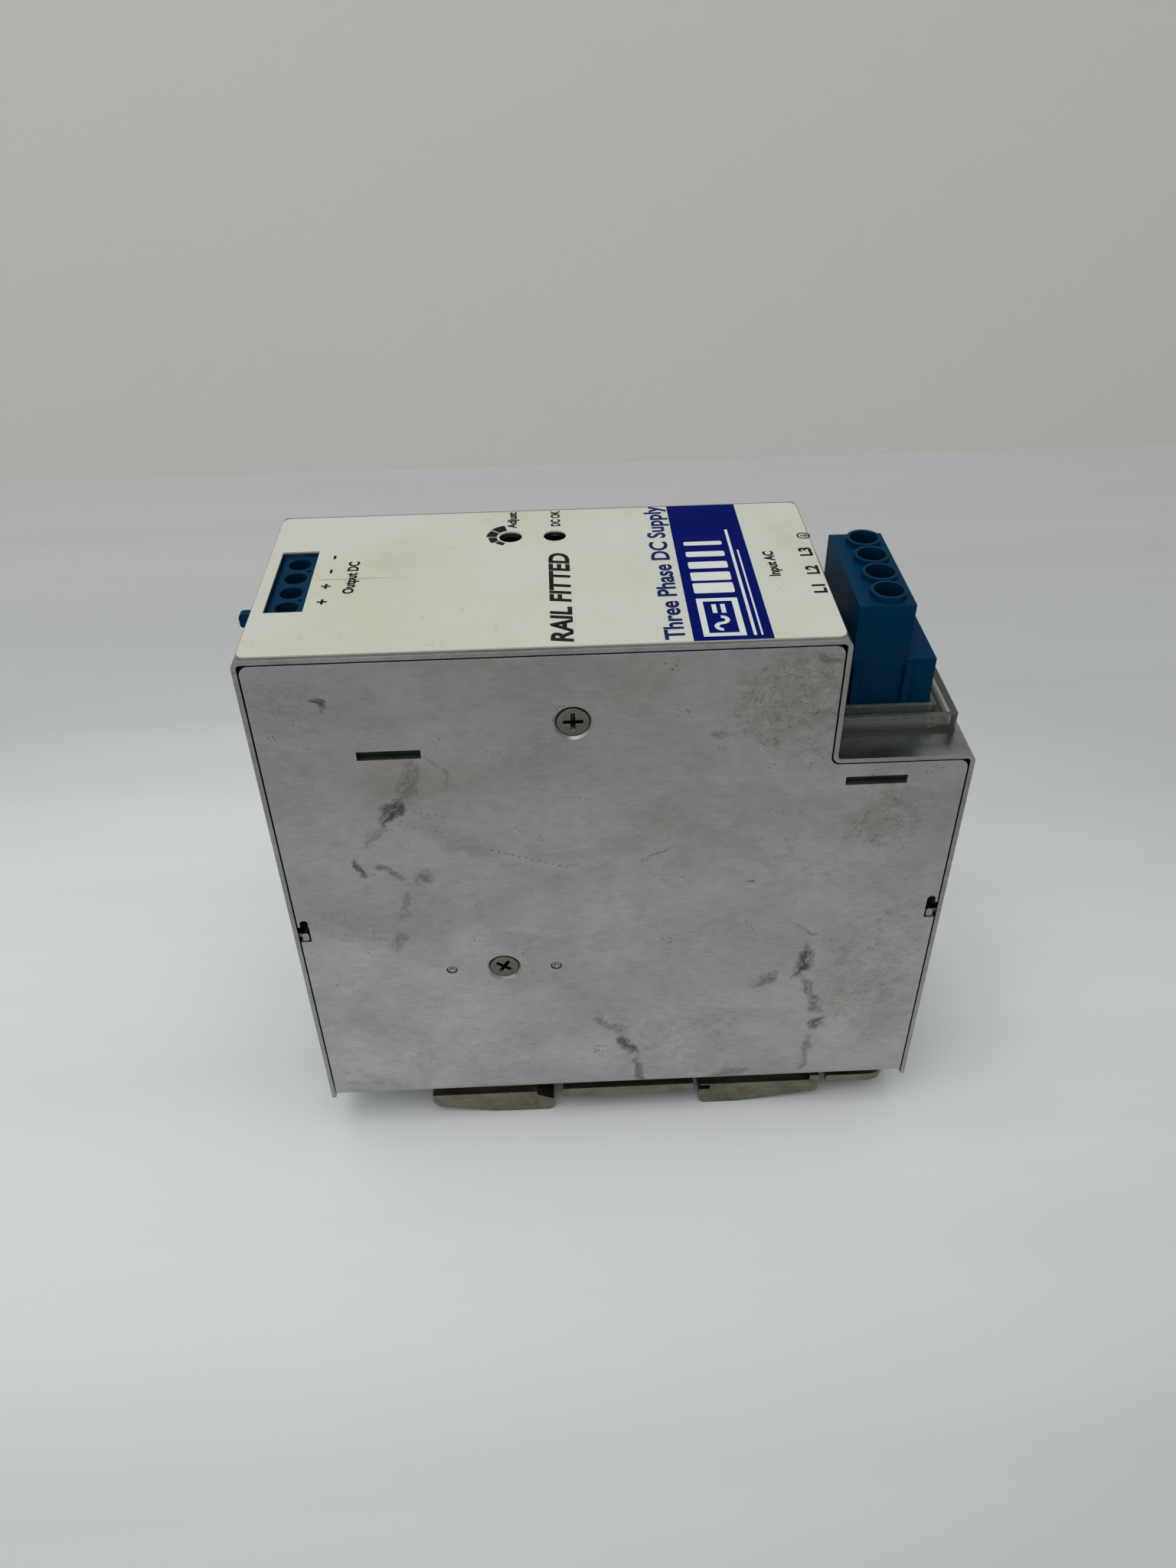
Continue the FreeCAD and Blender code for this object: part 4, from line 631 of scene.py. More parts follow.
@dataclass(frozen=True)
class Plated(Finish):
    """Plated steel or brass: thin bright coating, dulled, rubbed through on its edges and lightened
    there by painted highlight, with painted shade in its holes.

    Attributes:
        worn_and_lit: the colour that its edges show, rubbed through and with painted highlight.
        tarnish: the colour of its dull patches.
        patches: how strongly the dull patches show, 0 to 1.
        stretch: how far its fine lines are drawn out along X, less for longer lines.
        wear_and_highlight: how strongly its edges show rubbing and painted highlight, 0 to 1.
        shade: how strongly painted shade darkens holes and inside corners, 0 to 1.
    """

    worn_and_lit: Tone = (0.7, 0.7, 0.68)
    tarnish: Tone = (0.2, 0.19, 0.16)
    patches: float = 0.5
    stretch: float = 0.15
    wear_and_highlight: float = 0.6
    shade: float = 0.6

    def wire(self, graph: Graph, shader: object, where: object) -> None:
        """Shades the plating."""
        edge = graph.group(EDGE, Radius=0.00025, Gain=2.6, Breakup=1100.0).outputs
        dirt = graph.group(GRIME, Vector=where, Film_Scale=170.0, Speck_Scale=1900.0, Cover=0.7).outputs
        drawn = graph.noise(graph.place(where, scale=(self.stretch, 1.0, 1.0)), 1500.0, 4.0, 0.6)
        cloud = graph.noise(where, 210.0, 6.0, 0.62, 0.5)
        base = graph.blend(graph.span(cloud, 0.36, 0.7, 0.0, self.patches), self.tone, self.tarnish)
        base = graph.blend(1.0, base, graph.span(drawn, 0.3, 0.7, 0.88, 1.08), "MULTIPLY")
        base = graph.tint(base, dirt["Specks"], 0.5, SOOT_SPECK)
        # edges lightened: rubbing and painted highlight
        base = graph.tint(base, edge["Mask"], self.wear_and_highlight, self.worn_and_lit)
        # painted shade deep in holes and recesses
        shaded_in = graph.group(RECESS_SHADE, Distance=0.002).outputs[0]
        base = graph.tint(base, shaded_in, self.shade, HOLLOW_SHADE)
        graph.feed(shader["Base Color"], base)
        shader["Metallic"].default_value = 1.0
        self.gloss(graph, shader, graph.math("ADD", cloud, dirt["Film"]), (0.3, 1.2), (-0.08, 0.2))
        graph.feed(shader["Normal"], self.bump(graph, drawn, 0.00002, edge["Normal"], 0.3))


@dataclass(frozen=True)
class LabelFilm(Finish):
    """Printed polyester film: slightly glossy, yellowed, with specks and a hairline scratch.

    Attributes:
        near: the point that the long scratch starts from, in metres.
        scratch: the scratch's half width, in metres.
        wander: how far it strays from a straight line, in metres.
    """

    near: tuple[float, float, float] = (0.0, 0.0, 0.0)
    scratch: float = 0.0003
    wander: float = 0.0008

    def wire(self, graph: Graph, shader: object, where: object) -> None:
        """Shades the film."""
        dirt = graph.group(GRIME, Vector=where, Film_Scale=75.0, Speck_Scale=950.0, Cover=0.55).outputs
        hair = graph.group(HAIRLINES, Vector=where, Scale=42.0, Width=0.007).outputs[0]
        slow = graph.noise(where, 35.0, 5.0, 0.6)
        yellow = self.scaled(0.95, 0.93, 0.86)
        base = graph.blend(graph.span(slow, 0.35, 0.7), self.tone, yellow)
        base = graph.tint(base, dirt["Film"], 0.14, (0.36, 0.34, 0.27))
        base = graph.tint(base, dirt["Specks"], 0.30, (0.20, 0.19, 0.16))
        base = graph.tint(base, hair, 0.22, (0.40, 0.39, 0.34))
        axes = graph.add("SeparateXYZ", {0: graph.vector("SUBTRACT", where, self.near)}).outputs
        wave = graph.math("SUBTRACT", graph.noise(where, 160.0, 2.0), 0.5)
        strayed = graph.math("ADD", axes[1], graph.math("MULTIPLY", wave, self.wander))
        off = graph.math("ABSOLUTE", strayed)
        thin = graph.span(off, self.scratch / 3, self.scratch, 1.0, 0.0)
        begun = graph.span(axes[0], 0.0, 0.001)
        ended = graph.span(axes[0], 0.006, 0.02, 1.0, 0.0)
        ends = graph.math("MULTIPLY", begun, ended)
        base = graph.tint(base, graph.math("MULTIPLY", thin, ends), 0.55, (0.30, 0.29, 0.25))
        graph.feed(shader["Base Color"], base)
        shader["Specular IOR Level"].default_value = 0.3
        self.gloss(graph, shader, slow, (0.3, 0.7), (0.0, 0.12))
        orange = graph.math("SUBTRACT", graph.noise(where, 700.0, 2.0), hair)
        graph.feed(shader["Normal"], self.bump(graph, orange, 0.00002, None, 0.25))


@dataclass(frozen=True)
class Ink(Finish):
    """Screen-printed ink: solid colour with pinholes where the film's grain shows through.

    Attributes:
        thin: the colour where the ink is thin or rubbed.
    """

    thin: Tone = (0.3, 0.3, 0.3)

    def wire(self, graph: Graph, shader: object, where: object) -> None:
        """Shades the ink."""
        holes = graph.span(graph.noise(where, 4200.0, 2.0), 0.66, 0.74)
        rubbed = graph.span(graph.noise(where, 230.0, 5.0, 0.65), 0.62, 0.8, 0.0, 0.25)
        uneven = graph.noise(where, 120.0, 3.0)
        base = graph.blend(graph.span(uneven, 0.3, 0.7, 0.0, 0.12), self.tone, self.thin)
        gone = graph.math("MAXIMUM", graph.math("MULTIPLY", holes, 0.35), rubbed)
        base = graph.blend(gone, base, self.thin)
        graph.feed(shader["Base Color"], base)
        shader["Specular IOR Level"].default_value = 0.02
        self.gloss(graph, shader, uneven, (0.3, 0.7), (0.0, 0.1))


@dataclass(frozen=True)
class ClearPlastic(Finish):
    """Clear moulded plastic, faintly smoky, with edges lightened by painted highlight, and fine
    scratches.

    Attributes:
        clear: how much light passes through it, 0 to 1.
    """

    clear: float = 0.9

    def wire(self, graph: Graph, shader: object, where: object) -> None:
        """Shades the clear moulding."""
        edge = graph.group(EDGE, Radius=0.00025, Gain=2.2, Breakup=600.0).outputs
        hair = graph.group(HAIRLINES, Vector=where, Scale=70.0, Width=0.012).outputs[0]
        slow = graph.noise(where, 120.0, 4.0)
        # pale edges: painted highlight
        base = graph.blend(graph.math("MULTIPLY", edge["Mask"], 0.6), self.tone, (0.95, 0.95, 0.88))
        graph.feed(shader["Base Color"], base)
        shader["Transmission Weight"].default_value = self.clear
        shader["IOR"].default_value = 1.49
        self.gloss(graph, shader, graph.math("ADD", slow, hair), (0.3, 1.3), (0.0, 0.25))
        graph.feed(shader["Normal"], self.bump(graph, slow, 0.00006, edge["Normal"], 0.25))


@dataclass(frozen=True)
class Lacquered(Finish):
    """Circuit board: solder lacquer over copper tracks, with the weave of the laminate under it.

    Attributes:
        track: the colour over copper.
    """

    track: Tone = (0.05, 0.25, 0.09)

    def wire(self, graph: Graph, shader: object, where: object) -> None:
        """Shades the board."""
        turned = graph.place(where, turn=(0.6, 0.6, 0.6))
        cells = graph.add("TexVoronoi", {"Vector": turned, "Scale": 260.0}, distance="CHEBYCHEV",
                          feature="F1").outputs
        copper = graph.span(cells["Distance"], 0.34, 0.36, 1.0, 0.0)
        weave = graph.add("TexWave", {"Vector": where, "Scale": 900.0, "Distortion": 1.2}).outputs[1]
        base = graph.blend(copper, self.tone, self.track)
        base = graph.tint(base, weave, 0.16, self.scaled(1.8))
        graph.feed(shader["Base Color"], base)
        shader["Specular IOR Level"].default_value = 0.3
        self.gloss(graph, shader, weave, (0.0, 1.0), (0.0, 0.15))
        raised = graph.math("ADD", copper, weave)
        graph.feed(shader["Normal"], self.bump(graph, raised, 0.00003, None, 0.4))


class Axis(Enum):
    """An axis of a node, as the number of its coordinate."""

    X = 0
    Y = 1
    Z = 2


@dataclass(frozen=True)
class Wrapped(Finish):
    """A wound or sleeved part: shrunk sleeve, tape or enamelled wire with rings along one axis.

    Attributes:
        second: the colour between the rings.
        rings: how many rings there are to a metre.
        axis: the axis that the rings are spaced along.
        metallic: 1 for wire, 0 for tape and sleeves.
    """

    second: Tone = (0.1, 0.1, 0.1)
    rings: float = 900.0
    axis: Axis = Axis.Z
    metallic: float = 0.0

    def wire(self, graph: Graph, shader: object, where: object) -> None:
        """Shades the windings."""
        axes = graph.add("SeparateXYZ", {0: where}).outputs
        bend = graph.math("MULTIPLY", graph.noise(where, 260.0, 2.0), 1.2)
        turns = graph.math("MULTIPLY", axes[self.axis.value], self.rings * math.tau)
        phase = graph.math("ADD", turns, bend)
        ridge = graph.span(graph.math("SINE", phase), -1.0, 1.0)
        tint = graph.noise(where, 420.0, 4.0)
        base = graph.blend(graph.span(ridge, 0.0, 0.5), self.second, self.tone)
        base = graph.blend(graph.span(tint, 0.45, 0.8, 0.0, 0.3), base, self.scaled(0.55))
        graph.feed(shader["Base Color"], base)
        shader["Metallic"].default_value = self.metallic
        self.gloss(graph, shader, tint, (0.3, 0.7), (-0.06, 0.1))
        graph.feed(shader["Normal"], self.bump(graph, ridge, 0.00008, None, 0.5))


@dataclass(frozen=True)
class Sintered(Finish):
    """Pressed and fired ferrite: dark, fine-grained, with chipped pale edges."""

    def wire(self, graph: Graph, shader: object, where: object) -> None:
        """Shades the ferrite."""
        grain = graph.noise(where, 3800.0, 3.0, 0.7)
        edge = graph.group(EDGE, Radius=0.0003, Gain=2.0, Breakup=1600.0).outputs
        base = graph.blend(graph.span(grain, 0.3, 0.7), self.scaled(0.7), self.scaled(1.5))
        base = graph.tint(base, edge["Mask"], 0.4, (0.22, 0.22, 0.23))
        graph.feed(shader["Base Color"], base)
        shader["Metallic"].default_value = 0.3
        self.gloss(graph, shader, grain, (0.3, 0.7), (0.0, 0.15))
        graph.feed(shader["Normal"], self.bump(graph, grain, 0.00003, edge["Normal"], 0.4))


@dataclass(frozen=True)
class Table(Finish):
    """A pale, faintly streaked surface, for the work table and the wall; it can darken away from a
    middle point, a painted pool of light, as on the table.

    Attributes:
        streak: the colour of its streaks.
        fade: how bright the painted pool of light leaves it away from the object, 0 to 1.
        middle: the middle of the painted pool of light, in metres, after the area is squeezed along X.
        squeeze: how much shorter the area counts along X, so that it is that much wider.
        reach: how far from the middle the painted pool of light begins and ends fading, in metres.
    """

    streak: Tone = (0.7, 0.7, 0.7)
    fade: float = 1.0
    middle: tuple[float, float, float] = (-0.03, 0.01, 0.0)
    squeeze: float = 0.5
    reach: tuple[float, float] = (0.06, 0.16)

    def wire(self, graph: Graph, shader: object, where: object) -> None:
        """Shades the surface with a painted pool of light: a little darker away from its middle."""
        streaks = graph.noise(graph.place(where, scale=(1.2, 22.0, 1.0)), 1.6, 4.0, 0.5)
        base = graph.blend(graph.span(streaks, 0.35, 0.7), self.tone, self.streak)
        squeezed = graph.place(where, scale=(self.squeeze, 1.0, 1.0))
        far = graph.add("VectorMath", {0: squeezed, 1: self.middle}, operation="DISTANCE")
        # painted pool of light: darker away from the middle
        light = graph.span(far.outputs["Value"], *self.reach, 1.0, self.fade)
        base = graph.blend(1.0, base, light, "MULTIPLY")
        graph.feed(shader["Base Color"], base)
        shader["Specular IOR Level"].default_value = 0.3
        self.gloss(graph, shader, streaks, (0.3, 0.7), (0.0, 0.12))


# ---------------------------------------------------------------- modelling by hand


class Bench:
    """Short calls for modelling with Blender's own operators."""

    @staticmethod
    def clear_selection() -> None:
        """Deselects everything, and leaves no object active."""
        bpy.ops.object.select_all(action="DESELECT")
        bpy.context.view_layer.objects.active = None

    @staticmethod
    def hold(piece: bpy.types.Object) -> bpy.types.Object:
        """Makes one object the only selected and active one, and returns it."""
        Bench.clear_selection()
        piece.select_set(True)
        bpy.context.view_layer.objects.active = piece
        return piece

    @staticmethod
    def settle(piece: bpy.types.Object, name: str) -> bpy.types.Object:
        """Puts an object's place into its mesh, so that the object sits at the origin.

        Args:
            piece: the finished mesh object.
            name: the name it gets.

        Returns:
            The same object.
        """
        Bench.hold(piece)
        bpy.ops.object.transform_apply(location=True, rotation=True, scale=True)
        piece.name = name
        piece.data.name = name
        return piece

    @staticmethod
    def join(pieces: list[bpy.types.Object], name: str) -> bpy.types.Object:
        """Joins several mesh objects into one, named, at the origin.

        Args:
            pieces: the objects, at least one.
            name: the new name.

        Returns:
            The joined object.
        """
        Bench.clear_selection()
        for piece in pieces:
            piece.select_set(True)
        bpy.context.view_layer.objects.active = pieces[0]
        if len(pieces) > 1:
            bpy.ops.object.join()
        return Bench.settle(pieces[0], name)

    @staticmethod
    def thicken(height: float) -> None:
        """Raises the flat mesh that is being edited into a closed solid, and leaves edit mode.

        Args:
            height: how thick the solid is, in metres.
        """
        bpy.ops.mesh.select_all(action="SELECT")
        bpy.ops.mesh.extrude_region_move(TRANSFORM_OT_translate={"value": (0, 0, height)})
        bpy.ops.mesh.select_all(action="SELECT")
        bpy.ops.mesh.normals_make_consistent(inside=False)
        bpy.ops.object.mode_set(mode="OBJECT")

    @staticmethod
    def dress(piece: bpy.types.Object, finish: Finish, slot: str,
              body: str = "case") -> bpy.types.Object:
        """Gives a piece its finish and body.

        Args:
            piece: the finished mesh object.
            finish: its finish.
            slot: a material slot's name, not used.
            body: the body that it rides on.

        Returns:
            The same object.
        """
        piece.data.materials.clear()
        piece.data.materials.append(finish.material())
        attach(piece, body)
        LOG.info("%s: %d faces on %s", piece.name, len(piece.data.polygons), body)
        return piece


@dataclass(frozen=True)
class Line:
    """A line of generic lettering.

    Attributes:
        words: what it says.
        at: its start, in millimetres from the label's low corner.
        height: how tall its capitals are, in millimetres.
        length: how long the line is, in millimetres.
        heavy: how much each stroke is thickened, in millimetres.
        lean: how far the letters lean, as a slope.
    """

    words: str
    at: tuple[float, float]
    height: float
    length: float
    heavy: float = 0.0
    lean: float = 0.0


@dataclass
class FrontPrint:
    """Everything printed on the front label.

    Attributes:
        ink_lift: how far the ink stands proud of the film, in metres.
        capital: the height of a capital letter as a share of the type's size.
        band: the start and end of the coloured band along the case, in mm from the label's end.
        black_lines: the lines in black.
        blue_lines: the lines in blue.
        edge_gap: how far the band stops short of the label's edges, in millimetres.
        black, blue, band_blue, white: the inks.
        low, high: the corners of the label's box.
    """

    ink_lift: float = 0.02 * MM
    capital: float = 0.70
    band: tuple[float, float] = (71.5, 84.2)
    black_lines: tuple[Line, ...] = (
        Line("+", (12.4, 15.6), 2.2, 1.7, 0.09), Line("+", (12.4, 20.9), 2.2, 1.7, 0.09),
        Line("-", (12.2, 26.4), 2.2, 1.3, 0.09), Line("-", (12.2, 31.6), 2.2, 1.3, 0.09),
        Line("Output DC", (16.1, 19.0), 1.8, 11.4, 0.1), Line("Adjust", (43.4, 41.6), 1.6, 6.6, 0.09),
        Line("DC OK", (51.4, 41.6), 1.6, 6.4, 0.09),
        Line("RAIL FITTED", (52.6, 0.9), 3.4, 30.0, 0.17, 0.14),
        Line("Input AC", (88.4, 20.0), 1.75, 9.0, 0.1), Line("L1", (95.2, 13.7), 2.1, 2.9, 0.12),
        Line("L2", (95.2, 20.2), 2.1, 3.1, 0.12), Line("L3", (95.2, 26.8), 2.1, 3.1, 0.12),
    )
    edge_gap: float = 0.02
    blue_lines: tuple[Line, ...] = (Line("Three Phase DC Supply", (70.2, 0.7), 3.1, 48.0, 0.12),)
    black: Ink = Ink("ink_black", (0.012, 0.012, 0.013), 0.4, (0.12, 0.12, 0.11))
    blue: Ink = Ink("ink_blue", (0.006, 0.016, 0.115), 0.4, (0.08, 0.10, 0.25))
    band_blue: Ink = Ink("ink_band_blue", (0.0002, 0.0055, 0.125), 0.45, (0.004, 0.014, 0.17))
    white: Ink = Ink("ink_white", (0.78, 0.80, 0.76), 0.4, (0.5, 0.54, 0.62))
    low: Vector = field(default_factory=lambda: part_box("front_label")[0])
    high: Vector = field(default_factory=lambda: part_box("front_label")[1])

    def spot(self, along: float, across: float, lift: float = 0.0) -> Vector:
        """Returns the point of the label that is so many millimetres from its low corner."""
        return Vector((self.low.x + along * MM, self.low.y + across * MM, self.high.z + lift))

    def lettering(self, line: Line) -> bpy.types.Object:
        """Sets one line of type across the label and makes it a thin solid.

        Args:
            line: the line.

        Returns:
            The line as a mesh object.
        """
        Bench.clear_selection()
        bpy.ops.object.text_add(location=(0, 0, 0))
        words = bpy.context.active_object
        words.data.body = line.words
        words.data.size = line.height / self.capital * MM
        words.data.offset = line.heavy * MM
        words.data.shear = line.lean
        words.data.extrude = self.ink_lift / 2
        words.data.resolution_u = CURVE_STEPS
        bpy.context.view_layer.update()
        width = words.dimensions.x
        Bench.hold(words)
        bpy.ops.object.convert(target="MESH")
        words = bpy.context.active_object
        stretch = Matrix.Diagonal((line.length * MM / width, 1, 1, 1))
        turn = Matrix.Rotation(QUARTER_TURN, 4, "Z")
        place = Matrix.Translation(self.spot(*line.at, self.ink_lift / 2))
        words.matrix_world = place @ turn @ stretch
        return Bench.settle(words, "line")

    def patch(self, start: tuple[float, float], end: tuple[float, float], lift: float = 0.0,
              corner: float = 0.0) -> bpy.types.Object:
        """Prints a solid rectangle, with rounded corners if asked.

        Args:
            start: its low corner, in millimetres from the label's low corner.
            end: its high corner.
            lift: how far its underside stands above the film, in metres.
            corner: the corner radius, in millimetres.

        Returns:
            The patch as a mesh object.
        """
        Bench.clear_selection()
        middle = self.spot((start[0] + end[0]) / 2, (start[1] + end[1]) / 2, lift)
        size = ((end[0] - start[0]) * MM, (end[1] - start[1]) * MM)
        bpy.ops.mesh.primitive_plane_add(size=1.0, location=middle)
        patch = bpy.context.active_object
        patch.scale = (size[0], size[1], 1)
        Bench.settle(patch, "patch")
        bpy.ops.object.mode_set(mode="EDIT")
        bpy.ops.mesh.select_all(action="SELECT")
        if corner:
            bpy.ops.mesh.bevel(offset=corner * MM, offset_type="OFFSET", segments=CORNER_STEPS,
                               affect="VERTICES")
        Bench.thicken(self.ink_lift)
        return patch

    def ring_sector(self, centre: Vector, inner: float, outer: tuple[float, float],
                    degrees: tuple[float, float], lift: float = 0.0) -> bpy.types.Object:
        """Prints part of a ring, whose outer edge widens from its start to its end.

        Args:
            centre: the ring's middle.
            inner: the inner radius, in millimetres.
            outer: the outer radii at the start and at the end.
            degrees: the start and end angles, from the X axis.
            lift: how far its underside stands above the film, in metres.

        Returns:
            The sector as a mesh object.
        """
        Bench.clear_selection()
        first = Vector((math.cos(math.radians(degrees[0])), math.sin(math.radians(degrees[0])), 0))
        bpy.ops.mesh.primitive_plane_add(size=1.0, location=centre)
        sector = bpy.context.active_object
        bpy.ops.object.mode_set(mode="EDIT")
        bpy.ops.mesh.select_all(action="SELECT")
        bpy.ops.mesh.merge(type="CENTER")
        step = first * inner * MM + Vector((0, 0, lift))
        bpy.ops.transform.translate(value=step)
        outward = first * (outer[0] - inner) * MM
        bpy.ops.mesh.extrude_region_move(TRANSFORM_OT_translate={"value": outward})
        bpy.ops.mesh.select_all(action="SELECT")
        count = max(3, round((degrees[1] - degrees[0]) / ARC_STEP))
        bpy.ops.mesh.spin(steps=count, angle=-math.radians(degrees[1] - degrees[0]), center=centre,
                          axis=(0, 0, 1))
        bpy.ops.mesh.select_all(action="SELECT")
        bpy.ops.mesh.remove_doubles(threshold=WELD_REACH)
        Bench.thicken(self.ink_lift)
        return sector

    def dial_scale(self) -> list[bpy.types.Object]:
        """Returns the black wedges beside the adjuster's hole."""
        low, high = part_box("adjust_dial_rotor")
        centre = Vector(((low.x + high.x) / 2, (low.y + high.y) / 2, self.high.z))
        wedges = ((104, 139, 2.5, 4.7, 4.4), (143, 177, 2.5, 4.4, 4.0), (181, 214, 2.5, 4.0, 3.5),
                  (218, 248, 2.5, 3.5, 3.0))
        return [self.ring_sector(centre, inner, (start, end), (a, b))
                for a, b, inner, start, end in wedges]

    def earth_sign(self) -> list[bpy.types.Object]:
        """Returns the ringed earth sign after the line letters."""
        centre = self.spot(94.95, 34.6)
        ring = self.ring_sector(centre, 0.92, (1.22, 1.22), (0, 354))
        bars = [self.patch((94.35 + step * 0.42, 34.6 - half), (94.6 + step * 0.42, 34.6 + half))
                for step, half in enumerate((0.22, 0.42, 0.62))]
        stem = self.patch((95.2, 34.48), (95.95, 34.72))
        return [ring, stem, *bars]

    def band_art(self) -> list[bpy.types.Object]:
        """Returns the white converter sign and bars that decorate the band."""
        lift = self.ink_lift
        start, end = self.band[0] + 1.7, self.band[0] + 8.5
        middle = (start + end) / 2
        frame_bars = [self.patch((start, 1.2), (start + 1.0, 13.2), lift),
                      self.patch((end - 1.0, 1.2), (end, 13.2), lift),
                      self.patch((start + 1.0, 1.2), (end - 1.0, 2.2), lift),
                      self.patch((start + 1.0, 12.2), (end - 1.0, 13.2), lift)]
        steady = [self.patch((middle - 1.1, 8.4), (middle - 0.35, 11.2), lift),
                  self.patch((middle + 0.35, 8.4), (middle + 1.1, 11.2), lift)]
        wave = [self.ring_sector(self.spot(middle, 4.2, lift), 0.6, (1.35, 1.35), (90, 270)),
                self.ring_sector(self.spot(middle, 6.2, lift), 0.6, (1.35, 1.35), (-90, 90))]
        blocks = [self.patch((start, 15.0 + n * 4.3), (end, 18.4 + n * 4.3 - n * 0.5), lift, 0.4)
                  for n in range(5)]
        rule = [self.patch((end + 1.1, 1.2), (end + 1.6, 38.0), lift),
                self.patch((end + 2.3, 1.2), (end + 2.6, 30.0), lift)]
        return [*frame_bars, *steady, *wave, *blocks, *rule]

    def build(self) -> None:
        """Prints the label."""
        black = [self.lettering(line) for line in self.black_lines]
        black += self.dial_scale() + self.earth_sign()
        Bench.dress(Bench.join(black, "label_print_black"), self.black, "printed_label")
        blue = [self.lettering(line) for line in self.blue_lines]
        Bench.dress(Bench.join(blue, "label_print_blue"), self.blue, "printed_label")
        width = (self.high.y - self.low.y) / MM
        band = self.patch((self.band[0], self.edge_gap), (self.band[1], width - self.edge_gap))
        Bench.dress(Bench.settle(band, "label_band"), self.band_blue, "printed_label")
        Bench.dress(Bench.join(self.band_art(), "label_band_art"), self.white, "printed_label")


# ---------------------------------------------------------------- the object


def paint(node: str, finish: Finish) -> None:
    """Gives a CAD node a finish in each of its material slots.

    Args:
        node: the node's name.
        finish: the finish.
    """
    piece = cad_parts[node]
    for slot in piece.material_slots:
        slot.material = finish.material()
    LOG.info("%s: %s", node, finish.name)


def near_panel_finish() -> SheetMetal:
    """Returns the bare panel's finish, with the marks that handling has left on its near face."""
    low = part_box("cover")[0]
    rubs = (Rub((25.2, 83.5), (5.0, 1.7), 80, 0.42), Rub((21.8, 76.8), (3.6, 1.5), 55, 0.9),
            Rub((18.6, 72.0), (4.0, 0.6), 50, 0.3), Rub((14.0, 64.2), (2.2, 0.9), -65, 0.85),
            Rub((19.4, 63.0), (3.4, 0.9), -38, 0.6), Rub((25.4, 61.8), (1.8, 1.3), 20, 0.55),
            Rub((22.0, 56.0), (4.5, 1.0), 75, 0.35), Rub((18.6, 45.2), (3.5, 1.3), 80, 0.33),
            Rub((95.9, 35.6), (4.2, 1.7), 78, 0.92), Rub((89.2, 31.2), (4.0, 1.2), 35, 0.5),
            Rub((98.4, 26.0), (5.4, 0.9), -68, 0.55), Rub((100.6, 17.6), (2.2, 1.1), 65, 0.75),
            Rub((98.6, 8.0), (5.5, 1.1), 82, 0.42), Rub((62.2, 13.2), (3.6, 1.3), -62, 0.8),
            Rub((64.6, 5.0), (3.6, 1.0), -82, 0.68), Rub((58.6, 19.6), (3.2, 1.1), -38, 0.42),
            Rub((12.0, 99.3), (1.1, 0.8), -30, 0.9), Rub((77.0, 90.7), (1.8, 1.0), 0, 0.4),
            Rub((84.3, 57.2), (0.7, 0.35), 0, 0.85), Rub((67.0, 65.0), (2.6, 0.3), 22, 0.5),
            Rub((94.0, 104.6), (2.4, 0.9), -20, 0.6), Rub((30.4, 86.0), (4.0, 0.3), -70, 0.25),
            Rub((96.5, 43.6), (3.5, 0.5), -25, 0.35), Rub((83.0, 2.6), (4.0, 1.6), 10, 0.42))
    stains = (Rub((113.0, 19.5), (8.0, 5.0), 60, 0.35), Rub((35.0, 68.0), (6.0, 1.8), -8, 0.4),
              Rub((9.0, 2.8), (8.0, 2.4), 8, 0.4), Rub((106.5, 72.0), (7.0, 5.5), 40, 0.5),
              Rub((91.0, 99.0), (12.0, 9.0), 30, 0.45), Rub((108.0, 30.0), (10.0, 9.0), 60, 0.3))
    specks = (Rub((90.0, 98.0), (13.0, 8.5), 35, 0.95), Rub((107.0, 71.0), (6.0, 6.0), 0, 0.8),
              Rub((94.0, 86.0), (5.0, 6.0), 0, 0.6), Rub((6.0, 99.0), (5.0, 4.0), 0, 0.35),
              Rub((110.0, 35.0), (8.0, 18.0), -10, 0.5), Rub((76.0, 14.0), (12.0, 9.0), 0, 0.4),
              Rub((92.0, 62.0), (9.0, 5.0), -30, 0.35), Rub((14.0, 8.0), (12.0, 6.0), 10, 0.35))
    dotted = (Row((23.5, 77.3), 7.0, -17, 0.5), Row((22.0, 74.2), 9.0, -17, 0.45),
              Row((37.5, 67.5), 14.5, -20, 0.7), Row((3.5, 54.6), 10.0, -17, 0.4),
              Row((6.5, 48.6), 13.0, -14, 0.35), Row((33.5, 48.2), 13.0, -14, 0.3),
              Row((83.5, 74.2), 6.0, -8, 0.35), Row((22.0, 24.5), 14.0, -9, 0.3))
    return SheetMetal("panel_sheet", (0.45, 0.455, 0.445), 0.40, grime=0.8, origin=tuple(low),
                      rubs=rubs, stains=stains, specks=specks, dotted=dotted)


@dataclass
class CaseSheets:
    """The folded cover, the inner chassis and the label film.

    Attributes:
        cover: the cover's finish.
        panel: the chassis panels' finish.
        label_tone: the film's colour.
    """

    cover: SheetMetal = SheetMetal("cover_sheet", (0.35, 0.355, 0.345), 0.27, grime=0.8)
    panel: SheetMetal = field(default_factory=near_panel_finish)
    label_tone: Tone = (0.675, 0.695, 0.610)

    def build(self) -> None:
        """Dresses the sheets."""
        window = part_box("output_terminal_housing")
        scratch = (window[1].x - 2 * MM, 0.0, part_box("front_label")[1].z)
        film = LabelFilm("label_film", self.label_tone, 0.34, near=scratch)
        for node, finish in (("cover", self.cover), ("chassis", self.panel), ("front_label", film)):
            paint(node, finish)


